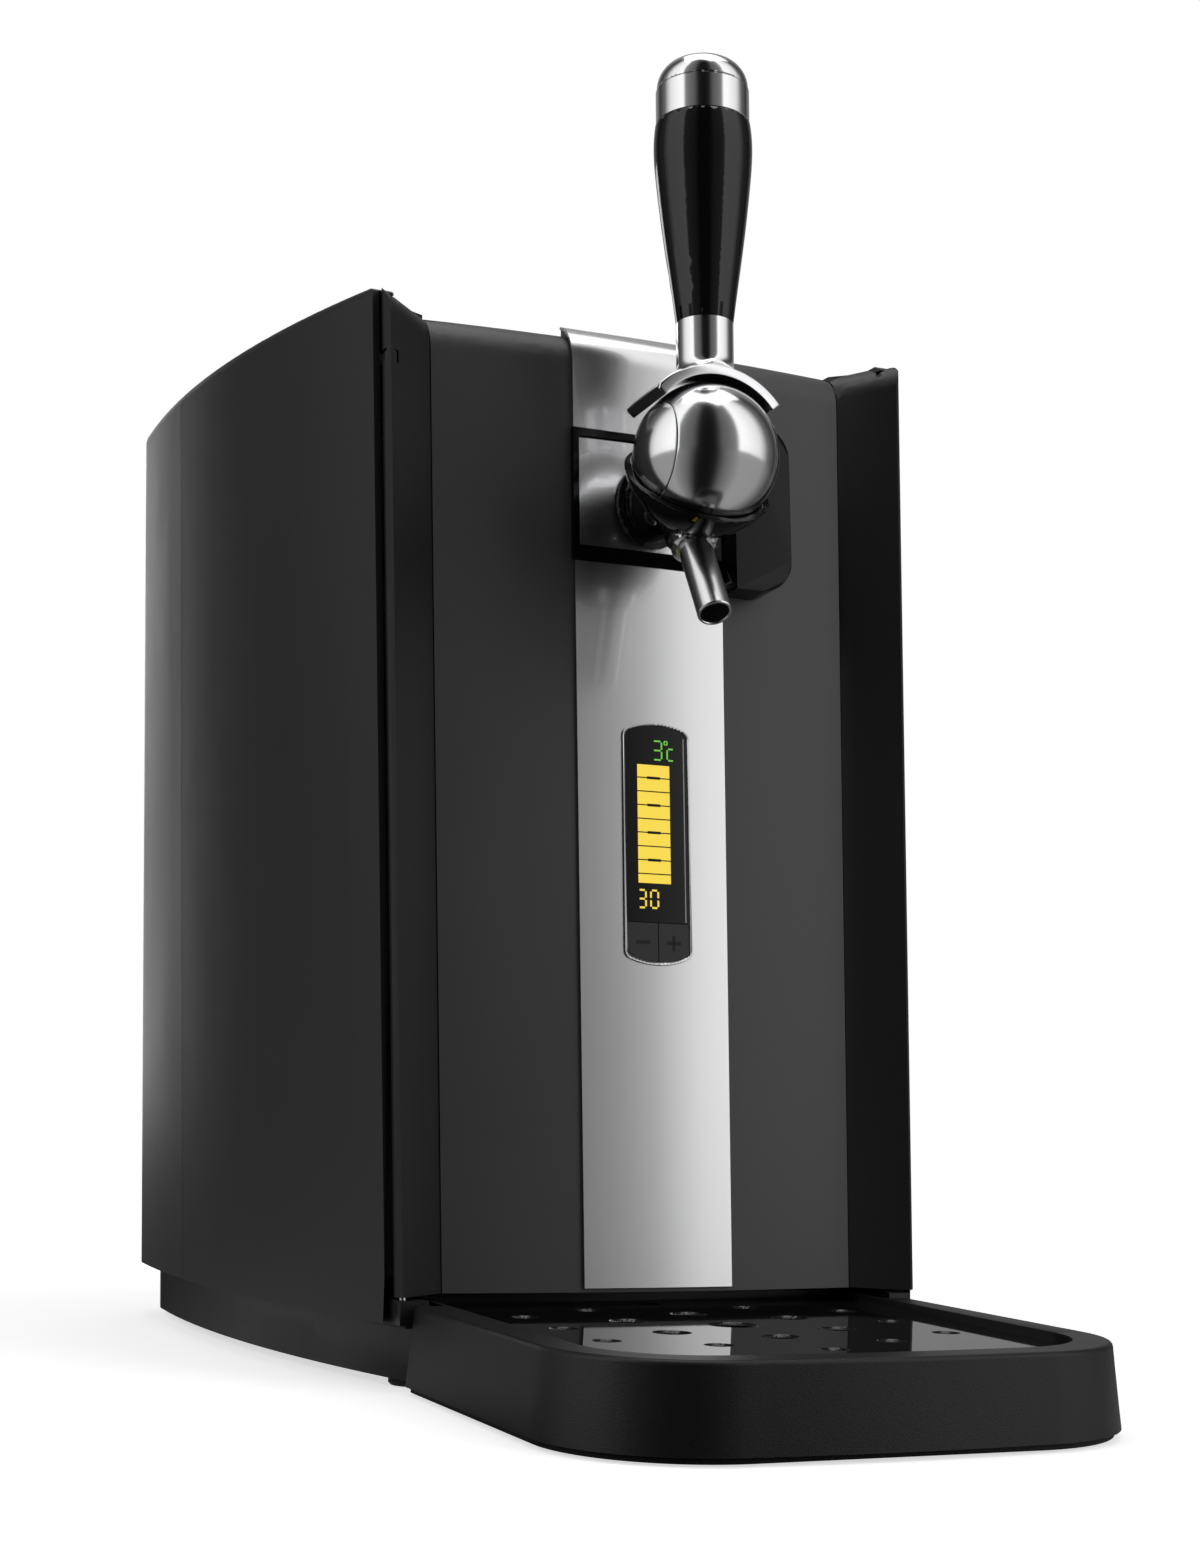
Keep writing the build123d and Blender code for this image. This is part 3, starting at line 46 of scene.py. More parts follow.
# ---- camera ----
# A low view from the front's left, a little below the middle of the machine and tilted
# up, through a short tele lens.
IMAGE_TALL = 1541
FOCUS_PIXELS = 2351.6
SENSOR = 36.0
NEAREST = 0.01
EYE = Vector((-0.34883, -0.83803, 0.10672))
YAW, PITCH, ROLL = 0.3962, 0.1280, 0.0235
ahead = Vector((sin(YAW) * cos(PITCH), cos(YAW) * cos(PITCH), sin(PITCH)))
level = Vector((cos(YAW), -sin(YAW), 0))
upright = level.cross(ahead)
right = level * cos(ROLL) + upright * sin(ROLL)
top = upright * cos(ROLL) - level * sin(ROLL)
camera = bpy.data.objects.new("camera", bpy.data.cameras.new("camera"))
bpy.context.collection.objects.link(camera)
camera.matrix_world = Matrix.Translation(EYE) @ Matrix((right, top, -ahead)).transposed().to_4x4()
camera.data.sensor_fit = "AUTO"
camera.data.sensor_width = SENSOR
camera.data.lens = FOCUS_PIXELS * SENSOR / IMAGE_TALL
camera.data.clip_start = NEAREST
bpy.context.scene.camera = camera

# ---- floor ----
# A wide sheet of white studio paper. It glows white to the camera, carries the machine's
# shadow close by, and shines back on the machine as a soft grey.
FLOOR_SIDE = 40
PAPER_WHITE = (0.93, 0.93, 0.93)
PAPER_ROUGH = 0.9
PAPER_GLOW = 0.62
FADE_START, FADE_END = 0.45, 1.1
# Greys at shares of the turn round the machine, from the camera's side to the far side.
UNDER_LIGHT = (
    (0.0, 0.005), (0.015, 0.01), (0.06, 0.14), (0.2, 0.32), (0.55, 0.30), (0.8, 0.06), (1.0, 0.14),
)


def shader_of(material):
    """The shader of a material's surface."""
    return material.node_tree.nodes["Principled BSDF"]


def new_finish(name, colour, roughness, metallic=0.0):
    """A material with its shader's plain values set."""
    material = bpy.data.materials.new(name)
    material.use_nodes = True
    shader = shader_of(material)
    shader.inputs["Base Color"].default_value = (*colour, 1)
    shader.inputs["Roughness"].default_value = roughness
    shader.inputs["Metallic"].default_value = metallic
    return material


def own_mesh(name):
    """The active object, named, with its place moved into its mesh."""
    piece = bpy.context.object
    bpy.ops.object.transform_apply(location=True, rotation=True, scale=True)
    piece.name = piece.data.name = name
    return piece


def round_the_machine(tree, where, tones):
    """Grey that changes with the turn round the machine, from the camera's side to the far one."""
    flat = tree.nodes.new("ShaderNodeVectorMath")
    flat.operation = "MULTIPLY"
    flat.inputs[1].default_value = (1, 1, 0)
    unit = tree.nodes.new("ShaderNodeVectorMath")
    unit.operation = "NORMALIZE"
    facing = tree.nodes.new("ShaderNodeVectorMath")
    facing.operation = "DOT_PRODUCT"
    facing.inputs[1].default_value = (sin(YAW), cos(YAW), 0)
    span = tree.nodes.new("ShaderNodeMapRange")
    span.inputs["From Min"].default_value = -1
    greys = tree.nodes.new("ShaderNodeValToRGB")
    stops = greys.color_ramp.elements
    for index, (place, tone) in enumerate(tones):
        stop = stops[index] if index < 2 else stops.new(place)
        stop.position = place
        stop.color = (tone, tone, tone, 1)
    tree.links.new(where, flat.inputs[0])
    tree.links.new(flat.outputs[0], unit.inputs[0])
    tree.links.new(unit.outputs[0], facing.inputs[0])
    tree.links.new(facing.outputs["Value"], span.inputs["Value"])
    tree.links.new(span.outputs[0], greys.inputs["Fac"])
    return greys.outputs["Color"]


def studio_paper():
    """White paper that fades to pure glow further out, to meet the background without a line."""
    material = new_finish("studio_paper", PAPER_WHITE, PAPER_ROUGH)
    tree = material.node_tree
    lit_paper = shader_of(material)
    lit_paper.inputs["Emission Color"].default_value = (1, 1, 1, 1)
    lit_paper.inputs["Emission Strength"].default_value = PAPER_GLOW
    glow = tree.nodes.new("ShaderNodeEmission")
    spot = tree.nodes.new("ShaderNodeTexCoord")
    reach = tree.nodes.new("ShaderNodeVectorMath")
    reach.operation = "LENGTH"
    fade = tree.nodes.new("ShaderNodeMapRange")
    fade.interpolation_type = "SMOOTHSTEP"
    fade.inputs["From Min"].default_value = FADE_START
    fade.inputs["From Max"].default_value = FADE_END
    to_the_eye = tree.nodes.new("ShaderNodeMixShader")
    to_the_machine = tree.nodes.new("ShaderNodeEmission")
    straight = tree.nodes.new("ShaderNodeLightPath")
    choice = tree.nodes.new("ShaderNodeMixShader")
    shade = round_the_machine(tree, spot.outputs["Object"], UNDER_LIGHT)
    tree.links.new(spot.outputs["Object"], reach.inputs[0])
    tree.links.new(reach.outputs["Value"], fade.inputs["Value"])
    tree.links.new(fade.outputs[0], to_the_eye.inputs[0])
    tree.links.new(lit_paper.outputs[0], to_the_eye.inputs[1])
    tree.links.new(glow.outputs[0], to_the_eye.inputs[2])
    tree.links.new(shade, to_the_machine.inputs["Color"])
    tree.links.new(straight.outputs["Is Camera Ray"], choice.inputs[0])
    tree.links.new(to_the_machine.outputs[0], choice.inputs[1])
    tree.links.new(to_the_eye.outputs[0], choice.inputs[2])
    tree.links.new(choice.outputs[0], tree.nodes["Material Output"].inputs["Surface"])
    return material


bpy.ops.mesh.primitive_plane_add(size=FLOOR_SIDE)
floor = own_mesh("studio_floor")
floor.data.materials.append(studio_paper())

# ---- light ----
# Three soft boxes light the machine: one at the right of the camera, one behind it and one
# overhead. Round it hang walls of silk, which its glossy pieces reflect.
MIDDLE = (0, 0, 0.22)


def soft_box(name, place, wide, tall, power):
    """A rectangular area light that looks at the machine's middle."""
    light = bpy.data.lights.new(name, "AREA")
    light.shape = "RECTANGLE"
    light.size = wide
    light.size_y = tall
    light.energy = power
    lamp = bpy.data.objects.new(name, light)
    bpy.context.collection.objects.link(lamp)
    lamp.location = place
    lamp.rotation_euler = (Vector(MIDDLE) - Vector(place)).to_track_quat("-Z", "Y").to_euler()
    return lamp


front_box = soft_box("front_box", place=(1.45, -1.75, 0.85), wide=0.9, tall=1.7, power=7)
front_box.visible_glossy = False
soft_box("rear_box", place=(-0.3, 2.2, 0.6), wide=0.6, tall=1.2, power=4)
soft_box("overhead_box", place=(0.1, 0.1, 2.0), wide=1.3, tall=1.2, power=7)

# The room is dark where the camera stands and has a bright wall of silk at both sides of the
# machine. It falls off towards the far side. The camera itself sees plain white.
ROOM = (
    (0.0, 0.005), (0.013, 0.01), (0.04, 0.11), (0.158, 0.21), (0.188, 1.20),
    (0.50, 0.85), (0.66, 0.14), (0.84, 0.03), (1.0, 0.34),
)
world = bpy.data.worlds.new("studio")
bpy.context.scene.world = world
world.use_nodes = True
room = world.node_tree
direction = room.nodes.new("ShaderNodeTexCoord")
walls = round_the_machine(room, direction.outputs["Generated"], ROOM)
seen = room.nodes.new("ShaderNodeLightPath")
backdrop = room.nodes.new("ShaderNodeMix")
backdrop.data_type = "RGBA"
backdrop.inputs["B"].default_value = (1, 1, 1, 1)
room.links.new(seen.outputs["Is Camera Ray"], backdrop.inputs["Factor"])
room.links.new(walls, backdrop.inputs["A"])
room.links.new(backdrop.outputs["Result"], room.nodes["Background"].inputs["Color"])
bpy.context.scene.view_settings.view_transform = "Standard"

# ---- base pan and feet ----
# The tray-shaped base is moulded in black plastic with a fine spark-eroded grain. It carries
# the side walls, the chamber and the runner for the drip tray, and stands on rubber discs.
BODY_OF = {
    node: body
    for body, held in frame["record"]["behaviour"]["bodies"].items()
    for node in held
}
FINE_DETAIL, PATCH_DETAIL = 3, 5
PATCH_SCALE = 11
GRAIN_STRENGTH = 0.6
SMOOTHEST = 0.01
JOIN_WITHIN = 0.000002


def grained(name, colour, roughness, grain, depth, metallic=0.0, spread=0.05, tone=0.12):
    """A finish with a fine grain in its bump and slow patches in its gloss and tone."""
    material = new_finish(name, colour, roughness, metallic)
    tree = material.node_tree
    shader = shader_of(material)
    place = tree.nodes.new("ShaderNodeTexCoord")
    fine = tree.nodes.new("ShaderNodeTexNoise")
    fine.inputs["Scale"].default_value = grain
    fine.inputs["Detail"].default_value = FINE_DETAIL
    slow = tree.nodes.new("ShaderNodeTexNoise")
    slow.inputs["Scale"].default_value = PATCH_SCALE
    slow.inputs["Detail"].default_value = PATCH_DETAIL
    gloss = tree.nodes.new("ShaderNodeMapRange")
    gloss.inputs["To Min"].default_value = max(roughness - spread, SMOOTHEST)
    gloss.inputs["To Max"].default_value = roughness + spread
    shades = tree.nodes.new("ShaderNodeMix")
    shades.data_type = "RGBA"
    shades.inputs["A"].default_value = (*[c * (1 - tone) for c in colour], 1)
    shades.inputs["B"].default_value = (*[min(c * (1 + tone), 1) for c in colour], 1)
    bump = tree.nodes.new("ShaderNodeBump")
    bump.inputs["Strength"].default_value = GRAIN_STRENGTH
    bump.inputs["Distance"].default_value = depth
    for noise in (fine, slow):
        tree.links.new(place.outputs["Object"], noise.inputs["Vector"])
    tree.links.new(slow.outputs["Fac"], gloss.inputs["Value"])
    tree.links.new(slow.outputs["Fac"], shades.inputs["Factor"])
    tree.links.new(fine.outputs["Fac"], bump.inputs["Height"])
    tree.links.new(gloss.outputs[0], shader.inputs["Roughness"])
    tree.links.new(shades.outputs["Result"], shader.inputs["Base Color"])
    tree.links.new(bump.outputs["Normal"], shader.inputs["Normal"])
    return material


def ready(piece, finish, name, angle=30):
    """A new piece, shaded smooth, in its finish, that stands for a CAD node."""
    piece.data.materials.clear()
    piece.data.materials.append(finish)
    bpy.ops.object.select_all(action="DESELECT")
    piece.select_set(True)
    bpy.context.view_layer.objects.active = piece
    bpy.ops.object.shade_smooth_by_angle(angle=radians(angle))
    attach(piece, BODY_OF[name])
    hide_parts(name)
    return piece


def skinned(name, finish, angle=30):
    """A copy of a CAD node with its facets joined and shaded as smooth moulded surfaces."""
    piece = bpy.data.objects.new(name + "_skin", frame["nodes"][name].data.copy())
    bpy.context.collection.objects.link(piece)
    bpy.ops.object.select_all(action="DESELECT")
    piece.select_set(True)
    bpy.context.view_layer.objects.active = piece
    bpy.ops.object.mode_set(mode="EDIT")
    bpy.ops.mesh.select_all(action="SELECT")
    bpy.ops.mesh.remove_doubles(threshold=JOIN_WITHIN)
    bpy.ops.object.mode_set(mode="OBJECT")
    ready(piece, finish, name, angle)
    even = piece.modifiers.new("even_shading", "WEIGHTED_NORMAL")
    even.keep_sharp = True
    bpy.ops.object.modifier_apply(modifier="even_shading")
    return piece


black_satin = grained("black_moulding", (0.011, 0.011, 0.012), 0.42, grain=2600, depth=0.00006)
rubber = grained("foot_rubber", (0.022, 0.022, 0.022), 0.85, grain=1500, depth=0.00012)
skinned("base_pan", black_satin)
skinned("rubber_feet", rubber)

# ---- side walls, rear cover and top cover ----
# Three shells and a top plate, moulded in charcoal plastic with a silky, almost smooth
# surface, snapped together along thin straight seams.
charcoal = grained("shell_moulding", (0.021, 0.021, 0.0225), 0.40, grain=3200, depth=0.00003)
for name in ("left_side_panel", "right_side_panel", "rear_cover", "top_cover"):
    skinned(name, charcoal, angle=24)

# ---- keg chamber and insulation ----
# A white deep-drawn liner with a round back and a raised seat for the keg, foamed in behind
# with insulation.
liner_white = grained("liner_white", (0.80, 0.81, 0.82), 0.30, grain=700, depth=0.00004)
foam = grained("insulation_foam", (0.72, 0.66, 0.48), 0.9, grain=420, depth=0.0006)
skinned("chamber_liner", liner_white)
skinned("foam_jacket", foam)

# ---- cooling unit ----
# A machined cold plate, a ceramic cooling module, an extruded heat sink and a fan that blows
# through the rear louvres.
aluminium = grained(
    "bare_aluminium", (0.70, 0.71, 0.72), 0.32, grain=900, depth=0.00003, metallic=1.0)
ceramic = grained("module_ceramic", (0.85, 0.85, 0.82), 0.6, grain=1200, depth=0.00003)


def carry_over(name, finish):
    """A CAD node that is shown as it is, in a finish."""
    for place in frame["nodes"][name].material_slots:
        place.link = "OBJECT"
        place.material = finish


carry_over("cold_plate", aluminium)
carry_over("heat_sink", aluminium)
carry_over("peltier_module", ceramic)
skinned("fan_frame", black_satin)
skinned("fan_rotor", black_satin)

# ---- pump, supply and board ----
# An air pump that pressurises the keg, a boxed power supply in a folded metal case and a
# green circuit board, all on top of the foam.
supply_case = grained(
    "folded_sheet", (0.55, 0.56, 0.57), 0.38, grain=1600, depth=0.00002, metallic=1.0)
board_green = grained("solder_mask", (0.03, 0.16, 0.07), 0.35, grain=1800, depth=0.00004)
skinned("air_pump", black_satin)
skinned("power_supply", supply_case)
skinned("control_board", board_green)

# ---- screws of the rear cover ----
# Six pan-head steel screws, blackened, pressed and with a cross recess, hold the rear cover
# to the side walls. They sit in line on its flat back.
screw_black = grained(
    "blackened_steel", (0.09, 0.09, 0.095), 0.34, grain=2600, depth=0.00002, metallic=1.0)
SCREW_RADIUS, SCREW_HEAD = 0.0031, 0.0011
DOME_SHARE, PROUD_SHARE = 0.7, 0.75
RECESS_LONG, RECESS_WIDE, RECESS_DEEP = 0.0036, 0.0007, 0.0007
SCREW_ROWS = (0.0345, 0.204, 0.372)
SCREW_OUT = 0.062
BEHIND = 1.0
FORWARDS = (0, -1, 0)


def cut_out(piece, cutter, bevel=0.0):
    """Takes the cutter out of a piece, deletes it and breaks the sharp edges."""
    bpy.ops.object.select_all(action="DESELECT")
    bpy.context.view_layer.objects.active = piece
    hole = piece.modifiers.new("hole", "BOOLEAN")
    hole.object = cutter
    hole.solver = "EXACT"
    bpy.ops.object.modifier_apply(modifier="hole")
    bpy.data.objects.remove(cutter)
    if bevel:
        rims = piece.modifiers.new("rims", "BEVEL")
        rims.width = bevel
        rims.segments = 2
        rims.limit_method = "ANGLE"
        rims.angle_limit = radians(50)
        bpy.ops.object.modifier_apply(modifier="rims")


def struck_from(name, start, direction):
    """The point and normal where a line first meets a skinned piece."""
    bpy.context.view_layer.update()
    skin = bpy.data.objects[name + "_skin"]
    _, point, normal, _ = skin.ray_cast(Vector(start), Vector(direction))
    return point, normal


def cross_screw(name, seat, normal, finish, body):
    """A pan-head screw on a surface: a domed disc with a cross pressed into it."""
    bpy.ops.object.select_all(action="DESELECT")
    bpy.ops.mesh.primitive_cylinder_add(vertices=48, radius=SCREW_RADIUS, depth=2 * SCREW_HEAD)
    head = own_mesh(name)
    dome = head.modifiers.new("dome", "BEVEL")
    dome.width = SCREW_HEAD * DOME_SHARE
    dome.segments = 4
    dome.limit_method = "ANGLE"
    dome.angle_limit = radians(60)
    bpy.ops.object.modifier_apply(modifier="dome")
    for long, wide in ((RECESS_LONG, RECESS_WIDE), (RECESS_WIDE, RECESS_LONG)):
        bpy.ops.mesh.primitive_cube_add(size=1, location=(0, 0, SCREW_HEAD))
        bpy.context.object.scale = (long, wide, 2 * RECESS_DEEP)
        cut_out(head, own_mesh("recess"))
    head.location = seat - normal * SCREW_HEAD * PROUD_SHARE
    head.rotation_mode = "QUATERNION"
    head.rotation_quaternion = Vector((0, 0, 1)).rotation_difference(normal)
    head.select_set(True)
    bpy.ops.object.transform_apply(location=True, rotation=True, scale=True)
    head.data.materials.append(finish)
    bpy.ops.object.shade_smooth_by_angle(angle=radians(35))
    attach(head, body)


for row, z in enumerate(SCREW_ROWS):
    for side, x in (("left", -SCREW_OUT), ("right", SCREW_OUT)):
        seat, normal = struck_from("rear_cover", (x, BEHIND, z), FORWARDS)
        cross_screw(f"cover_screw_{side}_{row}", seat, normal, screw_black, BODY_OF["rear_cover"])

# ---- power inlet and switch ----
# A mains socket and a rocker switch in black plastic, pressed into the rear cover. The
# rocker is glossy, and its bar for on and ring for off are printed on it in white.
black_gloss = grained(
    "black_lacquer", (0.006, 0.006, 0.0065), 0.07, grain=900, depth=0.000004, spread=0.03,
    tone=0.05)
print_white = grained("rocker_print", (0.75, 0.75, 0.75), 0.5, grain=1200, depth=0.000002)
SWITCH_X, ON_Z, OFF_Z = 0.04, 0.2078, 0.2006
MARK_TALL, MARK_PEN, MARK_THICK, RING_RADIUS = 0.0026, 0.0005, 0.00012, 0.0012
skinned("power_inlet", black_satin)
skinned("switch_frame", black_satin)
skinned("power_rocker", black_gloss)
on_seat, on_normal = struck_from("power_rocker", (SWITCH_X, BEHIND, ON_Z), FORWARDS)
bpy.ops.mesh.primitive_cube_add(size=1, location=on_seat)
bpy.context.object.scale = (MARK_PEN, MARK_THICK, MARK_TALL)
bpy.context.object.rotation_euler = (atan2(on_normal.z, on_normal.y), 0, 0)
on_mark = own_mesh("on_mark")
off_seat, off_normal = struck_from("power_rocker", (SWITCH_X, BEHIND, OFF_Z), FORWARDS)
bpy.ops.mesh.primitive_torus_add(
    location=off_seat, rotation=(atan2(off_normal.z, off_normal.y) - pi / 2, 0, 0),
    major_segments=40, minor_segments=6, major_radius=RING_RADIUS, minor_radius=MARK_PEN / 2)
off_mark = own_mesh("off_mark")
for mark in (on_mark, off_mark):
    mark.data.materials.append(print_white)
    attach(mark, BODY_OF["power_rocker"])

# ---- door ----
# A black frame with a slanted fin at each side, a charcoal panel let in between them, and at
# the back an insulated inner door and its seal. It turns on two steel pins at the left.
pin_steel = grained(
    "ground_pin", (0.6, 0.6, 0.61), 0.22, grain=2500, depth=0.00002, metallic=1.0)
panel_grey = grained("panel_moulding", (0.074, 0.074, 0.076), 0.42, grain=3200, depth=0.00003)
skinned("door_frame", black_satin, angle=24)
skinned("door_panel", panel_grey, angle=24)
skinned("door_seal", rubber)
skinned("door_liner", liner_white)
carry_over("lower_hinge_pin", pin_steel)
carry_over("upper_hinge_pin", pin_steel)

# ---- polished strips ----
# Three pieces of polished stainless sheet, one below the tap, one behind it and one that
# wraps back over the top on a black carrier. The lower one is cut out round the display.
FRONT_Y = -0.07983
FLARE, LEAN = 0.23, 0.083
DOOR_LEAN = atan2(LEAN, 1)
CROWN, EDGE, PANEL_HALF = 0.0083, 0.0136, 0.0786
ROLL_RADIUS, ROLL_TOP, DOOR_DEPTH = 0.016, 0.3896, 0.020
STRIP_HALF, STRIP_PROUD, STRIP_SKIN = 0.0282, 0.0012, 0.0010
STRIP_LOW, STRIP_HIGH = 0.0325, 0.2947
WINDOW_LEFT, WINDOW_LOW, WINDOW_HIGH = -0.0263, 0.3008, 0.3425
ROLLED_LOW, ROLLED_LENGTH = 0.3463, 0.3960
GRID_ACROSS, GRID_PITCH, FEWEST_ROWS = 48, 0.0016, 12
SAME_PLACE = 0.00001
DISPLAY_X, DISPLAY_Z = 0.00104, 0.1904
DISPLAY_WIDE, DISPLAY_TALL = 0.0250, 0.0880
ARCH, CORNER, ARCH_SLICES = 0.0030, 0.0024, 8
CUT_GAP, CUT_DEEP, CUT_EASE = 0.00095, 0.02, 0.00012


def polished(name, colour, roughness, lacquer=None):
    """Bright metal with the faint haze that polishing leaves, and a lacquer if it has one."""
    material = grained(
        name, colour, roughness, grain=1400, depth=0.0000015, metallic=1.0, spread=0.02, tone=0.02)
    if lacquer:
        shader = shader_of(material)
        shader.inputs["Coat Weight"].default_value = 1.0
        shader.inputs["Coat Roughness"].default_value = 0.03
        shader.inputs["Coat IOR"].default_value = lacquer
    return material


def door_point(x, z, proud, roll_top=None):
    """A point on the crowned door at x, z up its front; past the top's roll it turns back."""
    behind = EDGE - (EDGE - CROWN) * (1 - (x / PANEL_HALF) ** 2) - proud
    if roll_top is not None and z > roll_top - ROLL_RADIUS:
        past = z - roll_top + ROLL_RADIUS
        turn = min(past / ROLL_RADIUS, pi / 2)
        spare = max(past - ROLL_RADIUS * pi / 2, 0)
        behind = min(behind + ROLL_RADIUS * (1 - cos(turn)) + spare, DOOR_DEPTH)
        z = roll_top - ROLL_RADIUS + ROLL_RADIUS * sin(turn)
    return Vector((x * (1 + FLARE * z), FRONT_Y + behind + LEAN * z, z))


def crowned_sheet(name, left, right, low, high, roll_top=None):
    """Polished sheet on the door's crowned front, shaped from a grid, with a real thickness."""
    rows = max(int((high - low) / GRID_PITCH), FEWEST_ROWS)
    bpy.ops.mesh.primitive_grid_add(x_subdivisions=GRID_ACROSS, y_subdivisions=rows, size=1)
    sheet = own_mesh(name)
    for vertex in sheet.data.vertices:
        x = left + (right - left) * (vertex.co.x + 0.5)
        z = low + (high - low) * (vertex.co.y + 0.5)
        vertex.co = door_point(x, z, STRIP_PROUD, roll_top)
    bpy.ops.object.mode_set(mode="EDIT")
    bpy.ops.mesh.select_all(action="SELECT")
    bpy.ops.mesh.remove_doubles(threshold=SAME_PLACE)
    bpy.ops.object.mode_set(mode="OBJECT")
    wall = sheet.modifiers.new("wall", "SOLIDIFY")
    wall.thickness = STRIP_SKIN
    wall.offset = -1
    bpy.ops.object.modifier_apply(modifier="wall")
    return sheet


display_middle = door_point(0, DISPLAY_Z, 0) + Vector((DISPLAY_X, 0, 0))


def display_cutter(grow, deep):
    """Solid of the display's outline with arched ends, square to the door."""
    half, tall = DISPLAY_WIDE / 2 + grow, DISPLAY_TALL / 2 + grow
    bpy.ops.mesh.primitive_cube_add(size=1)
    cutter = own_mesh("display_cut")
    bpy.ops.object.mode_set(mode="EDIT")
    bpy.ops.mesh.select_all(action="SELECT")
    bpy.ops.transform.resize(value=(2 * half, deep, 2 * tall), center_override=(0, 0, 0))
    bpy.ops.object.mode_set(mode="OBJECT")
    rims = cutter.modifiers.new("corners", "BEVEL")
    rims.width = CORNER + grow
    rims.segments = 6
    rims.limit_method = "WEIGHT"
    weights = cutter.data.attributes.new("bevel_weight_edge", "FLOAT", "EDGE")
    for edge in cutter.data.edges:
        a, b = [cutter.data.vertices[i].co for i in edge.vertices]
        weights.data[edge.index].value = 1.0 if abs(a.y - b.y) > deep / 2 else 0.0
    bpy.ops.object.modifier_apply(modifier="corners")
    bpy.ops.object.mode_set(mode="EDIT")
    for k in range(1 - ARCH_SLICES, ARCH_SLICES):
        bpy.ops.mesh.select_all(action="SELECT")
        bpy.ops.mesh.bisect(plane_co=(half * k / ARCH_SLICES, 0, 0), plane_no=(1, 0, 0))
    bpy.ops.object.mode_set(mode="OBJECT")
    for vertex in cutter.data.vertices:
        arch = ARCH * (vertex.co.x / half) ** 2
        vertex.co.z -= arch * vertex.co.z / tall
        vertex.co = Matrix.Rotation(-DOOR_LEAN, 3, "X") @ vertex.co
        vertex.co += display_middle
    return cutter


mirror_steel = polished("polished_sheet", (0.80, 0.80, 0.81), 0.26, lacquer=1.9)
tall_strip = crowned_sheet("tall_strip", -STRIP_HALF, STRIP_HALF, STRIP_LOW, STRIP_HIGH)
cut_out(tall_strip, display_cutter(CUT_GAP, CUT_DEEP), CUT_EASE)
ready(tall_strip, mirror_steel, "front_strip", angle=20)
window_strip = crowned_sheet("window_strip", WINDOW_LEFT, STRIP_HALF, WINDOW_LOW, WINDOW_HIGH)
ready(window_strip, mirror_steel, "window_plate", angle=20)
rolled_strip = crowned_sheet(
    "rolled_strip", -STRIP_HALF, STRIP_HALF, ROLLED_LOW, ROLLED_LENGTH, ROLL_TOP)
ready(rolled_strip, mirror_steel, "top_strip", angle=20)
skinned("strip_carrier", black_satin, angle=20)

# ---- tap frame ----
# A black lacquered moulding: two bands and a bar round the tap's window, and a hollow pull at
# its right to open the door by.
FRAME_SHINE = 0.22
frame_black = grained(
    "frame_lacquer", (0.004, 0.004, 0.0044), 0.12, grain=900, depth=0.000004, spread=0.03,
    tone=0.05)
shader_of(frame_black).inputs["Specular IOR Level"].default_value = FRAME_SHINE
skinned("tap_frame", frame_black)

# ---- display ----
# A chromed bezel round a black lens. Behind the lens a board lights a temperature, a filling
# gauge and a number, and two grey keys with printed signs sit below it.
chrome = polished("satin_chrome", (0.86, 0.86, 0.87), 0.15)
lens_black = grained(
    "display_lens_black", (0.004, 0.004, 0.0045), 0.05, grain=700, depth=0.000002, spread=0.02)
# a grey finish for the thin bar at the lens's right edge: a painted highlight, not a colour of the lens
painted_lens_highlight = grained("painted_lens_highlight_finish", (0.55, 0.55, 0.56), 0.25, grain=1500, depth=0.000002)
key_grey = grained("key_plastic", (0.030, 0.030, 0.032), 0.36, grain=2400, depth=0.00003)
sign_black = grained("key_print", (0.004, 0.004, 0.004), 0.5, grain=900, depth=0.000002)
skinned("display_bezel", chrome)
skinned("display_board", board_green)
skinned("display_lens", lens_black, angle=10)
skinned("minus_button", key_grey)
skinned("plus_button", key_grey)

MM = 0.001
PRINT_THICK = 0.00006
LENS_FRONT, KEY_FRONT = 0.0018, 0.0017
SEGMENT_LIFT, MARK_LIFT, KEY_LIFT = 0.00004, 0.00010, 0.00003
out_of_door = Vector((0, -cos(DOOR_LEAN), sin(DOOR_LEAN)))
up_door = Vector((0, sin(DOOR_LEAN), cos(DOOR_LEAN)))


def lit(name, colour, glow):
    """The finish of a lit segment: tinted plastic that shines in its own colour."""
    material = grained(name, [c * 0.2 for c in colour], 0.4, grain=900, depth=0.000002, tone=0.10)
    shader_of(material).inputs["Emission Color"].default_value = (*colour, 1)
    shader_of(material).inputs["Emission Strength"].default_value = glow
    return material


def printed(name, bars, front, finish, body):
    """Thin bars on the display, each from its middle and its size in millimetres."""
    made = []
    for right_mm, up_mm, wide, tall in bars:
        place = display_middle + Vector((right_mm * MM, 0, 0))
        place += up_door * up_mm * MM + out_of_door * front
        bpy.ops.mesh.primitive_cube_add(size=1, location=place, rotation=(-DOOR_LEAN, 0, 0))
        bar = bpy.context.object
        bar.scale = (wide * MM, PRINT_THICK, tall * MM)
        bpy.ops.object.transform_apply(location=True, rotation=True, scale=True)
        made.append(bar)
    bpy.ops.object.select_all(action="DESELECT")
    for bar in made:
        bar.select_set(True)
    bpy.context.view_layer.objects.active = made[0]
    bpy.ops.object.join()
    sign = own_mesh(name)
    sign.data.materials.append(finish)
    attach(sign, body)


# The lit strokes of each sign: top, middle and bottom, then the left pair and the right pair
# from the top down.
STROKES = {"3": "tmbRS", "0": "tbLMRS", "c": "mbM"}
CORNER_GAP = 1.3


